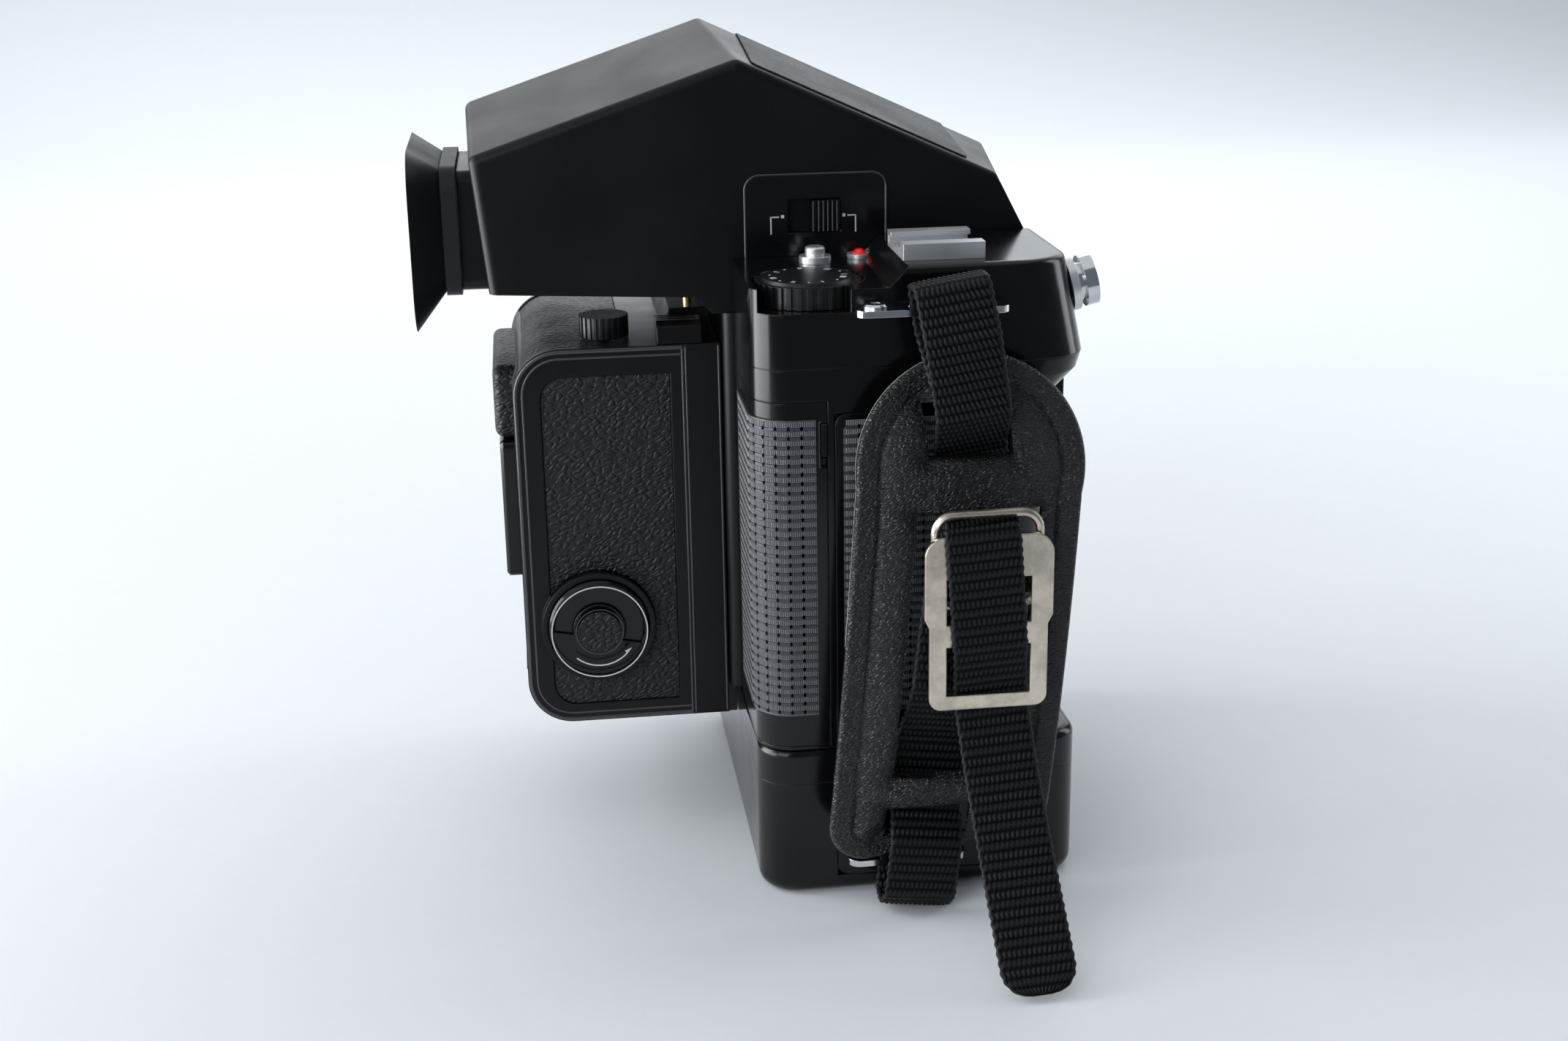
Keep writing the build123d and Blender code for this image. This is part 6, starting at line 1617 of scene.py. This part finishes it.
LAMPS = (
    SoftBox("key_top", (-180, 120, 950), (-20, 0, 60), 1.8, 1.4, 4.4, (1.0, 0.995, 0.985)),
    SoftBox("left_box", (-900, 60, 420), (-60, 0, 90), 0.5, 0.9, 5.8, (0.96, 0.98, 1.0)),
    SoftBox("left_card", (-430, -80, 140), (-40, -80, 140), 0.45, 0.26, 2.4, (0.96, 0.98, 1.0),
            lights_matt=False),
    SoftBox("left_front", (-560, -800, 430), (0, -60, 90), 0.6, 0.6, 3.6, (0.92, 0.96, 1.0)),
    SoftBox("right_box", (820, 120, 400), (20, -40, 90), 0.3, 0.8, 2.6, (0.93, 0.97, 1.0)),
    SoftBox("back_box", (200, 1350, 830), (0, 0, 120), 2.4, 0.9, 8.0, (0.95, 0.98, 1.0)),
    SoftBox("back_wash", (0, 900, 1000), (150, 1650, 100), 2.6, 0.7, 12.2, (0.95, 0.98, 1.0)),
)


@dataclass
class Studio:
    """Pale paper sweep, soft lights and the camera."""

    eye: Triple = (-92.1, -555.1, 254.1)
    right: Triple = (0.9918014, -0.1268618, -0.0153644)
    down: Triple = (-0.0534385, -0.3025258, -0.9516420)
    forward: Triple = (0.1160789, 0.9446609, -0.3068248)
    lens: float = 47.449
    sensor: float = 36.0
    floor_half: float = 1900.0
    floor_near: float = -430.0
    floor_far: float = 1300.0
    sweep: float = 700.0
    wall: float = 1500.0
    sweep_cuts: int = 16
    fill_colour: Triple = (0.80, 0.90, 1.0)
    fill_strength: float = 0.19
    seen_colour: Triple = (0.82, 0.85, 0.89)

    def build(self) -> None:
        """Builds the whole studio."""
        self._sweep()
        self._camera()
        self._world()
        for lamp in LAMPS:
            lamp.hang()

    def _sweep(self) -> None:
        """Builds the floor with its curved rise to the wall."""
        profile = [(self.floor_near, 0.0), (self.floor_far, 0.0)]
        for n in range(1, self.sweep_cuts + 1):
            a = math.pi / 2 * n / self.sweep_cuts
            profile.append((self.floor_far + self.sweep * math.sin(a),
                            self.sweep * (1 - math.cos(a))))
        profile.append((self.floor_far + self.sweep, self.wall))
        mesh = bmesh.new()
        grid_faces(mesh, [[mesh.verts.new((x, y, z)) for x in (-self.floor_half, self.floor_half)]
                          for y, z in profile])
        floor = to_object(mesh, "paper_sweep", 60.0)
        floor.data.materials.append(SHOP.material(FLOOR_PAPER))
        floor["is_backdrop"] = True

    def _camera(self) -> None:
        """Places the camera where the photograph was taken from."""
        data = bpy.data.cameras.new("photo_camera")
        data.lens = self.lens
        data.sensor_width = self.sensor
        data.clip_start = 0.01
        data.clip_end = 20.0
        camera = bpy.data.objects.new("photo_camera", data)
        bpy.context.scene.collection.objects.link(camera)
        axes = Matrix((Vector(self.right), -Vector(self.down), -Vector(self.forward)))
        matrix = axes.transposed().to_4x4()
        matrix.translation = Vector(self.eye) * MM
        camera.matrix_world = matrix
        bpy.context.scene.camera = camera

    def _world(self) -> None:
        """Sets a dim even surround that looks pale where the camera sees it past the paper."""
        world = bpy.data.worlds.new("surround")
        bpy.context.scene.world = world
        world.use_nodes = True
        tree = world.node_tree
        fill = tree.nodes["Background"]
        fill.inputs["Color"].default_value = (*self.fill_colour, 1.0)
        fill.inputs["Strength"].default_value = self.fill_strength
        seen = tree.nodes.new("ShaderNodeBackground")
        seen.inputs["Color"].default_value = (*self.seen_colour, 1.0)
        path = tree.nodes.new("ShaderNodeLightPath")
        either = tree.nodes.new("ShaderNodeMixShader")
        tree.links.new(path.outputs["Is Camera Ray"], either.inputs[0])
        tree.links.new(fill.outputs[0], either.inputs[1])
        tree.links.new(seen.outputs[0], either.inputs[2])
        tree.links.new(either.outputs[0], tree.nodes["World Output"].inputs["Surface"])


def keep_size(sizes: dict, label: str) -> None:
    """Notes the shown object's box.

    Args:
        sizes: What was noted so far.
        label: Name of this reading.
    """
    low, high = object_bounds()
    sizes[label] = [list(low), list(high)]


def main() -> None:
    """Builds the whole scene round the frame."""
    logging.basicConfig(level=logging.INFO)
    for obj in list(bpy.data.objects):
        bpy.data.objects.remove(obj)
    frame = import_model()
    sizes: dict = {}
    keep_size(sizes, "cad")
    FrameDresser().dress(frame)
    pieces = []
    for strap in STRAPS:
        pieces.append(strap.build())
        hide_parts(strap.node)
    pieces.append(FrayedTip().build())
    pad = HandPad().build()
    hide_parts("hand_pad")
    pieces += pad
    for maker in (BrickRubber(), MagazineTrim(), PlateTrim(), Marks()):
        pieces += maker.build()
    for piece in pieces:
        LOG.info("built %s, %d faces", piece.name, len(piece.data.polygons))
    Studio().build()
    scene = bpy.context.scene
    scene.view_settings.view_transform = "Standard"
    scene.view_settings.look = "None"
    keep_size(sizes, "shown")
    LOG.info("scene built")


if __name__ == "__main__":
    main()
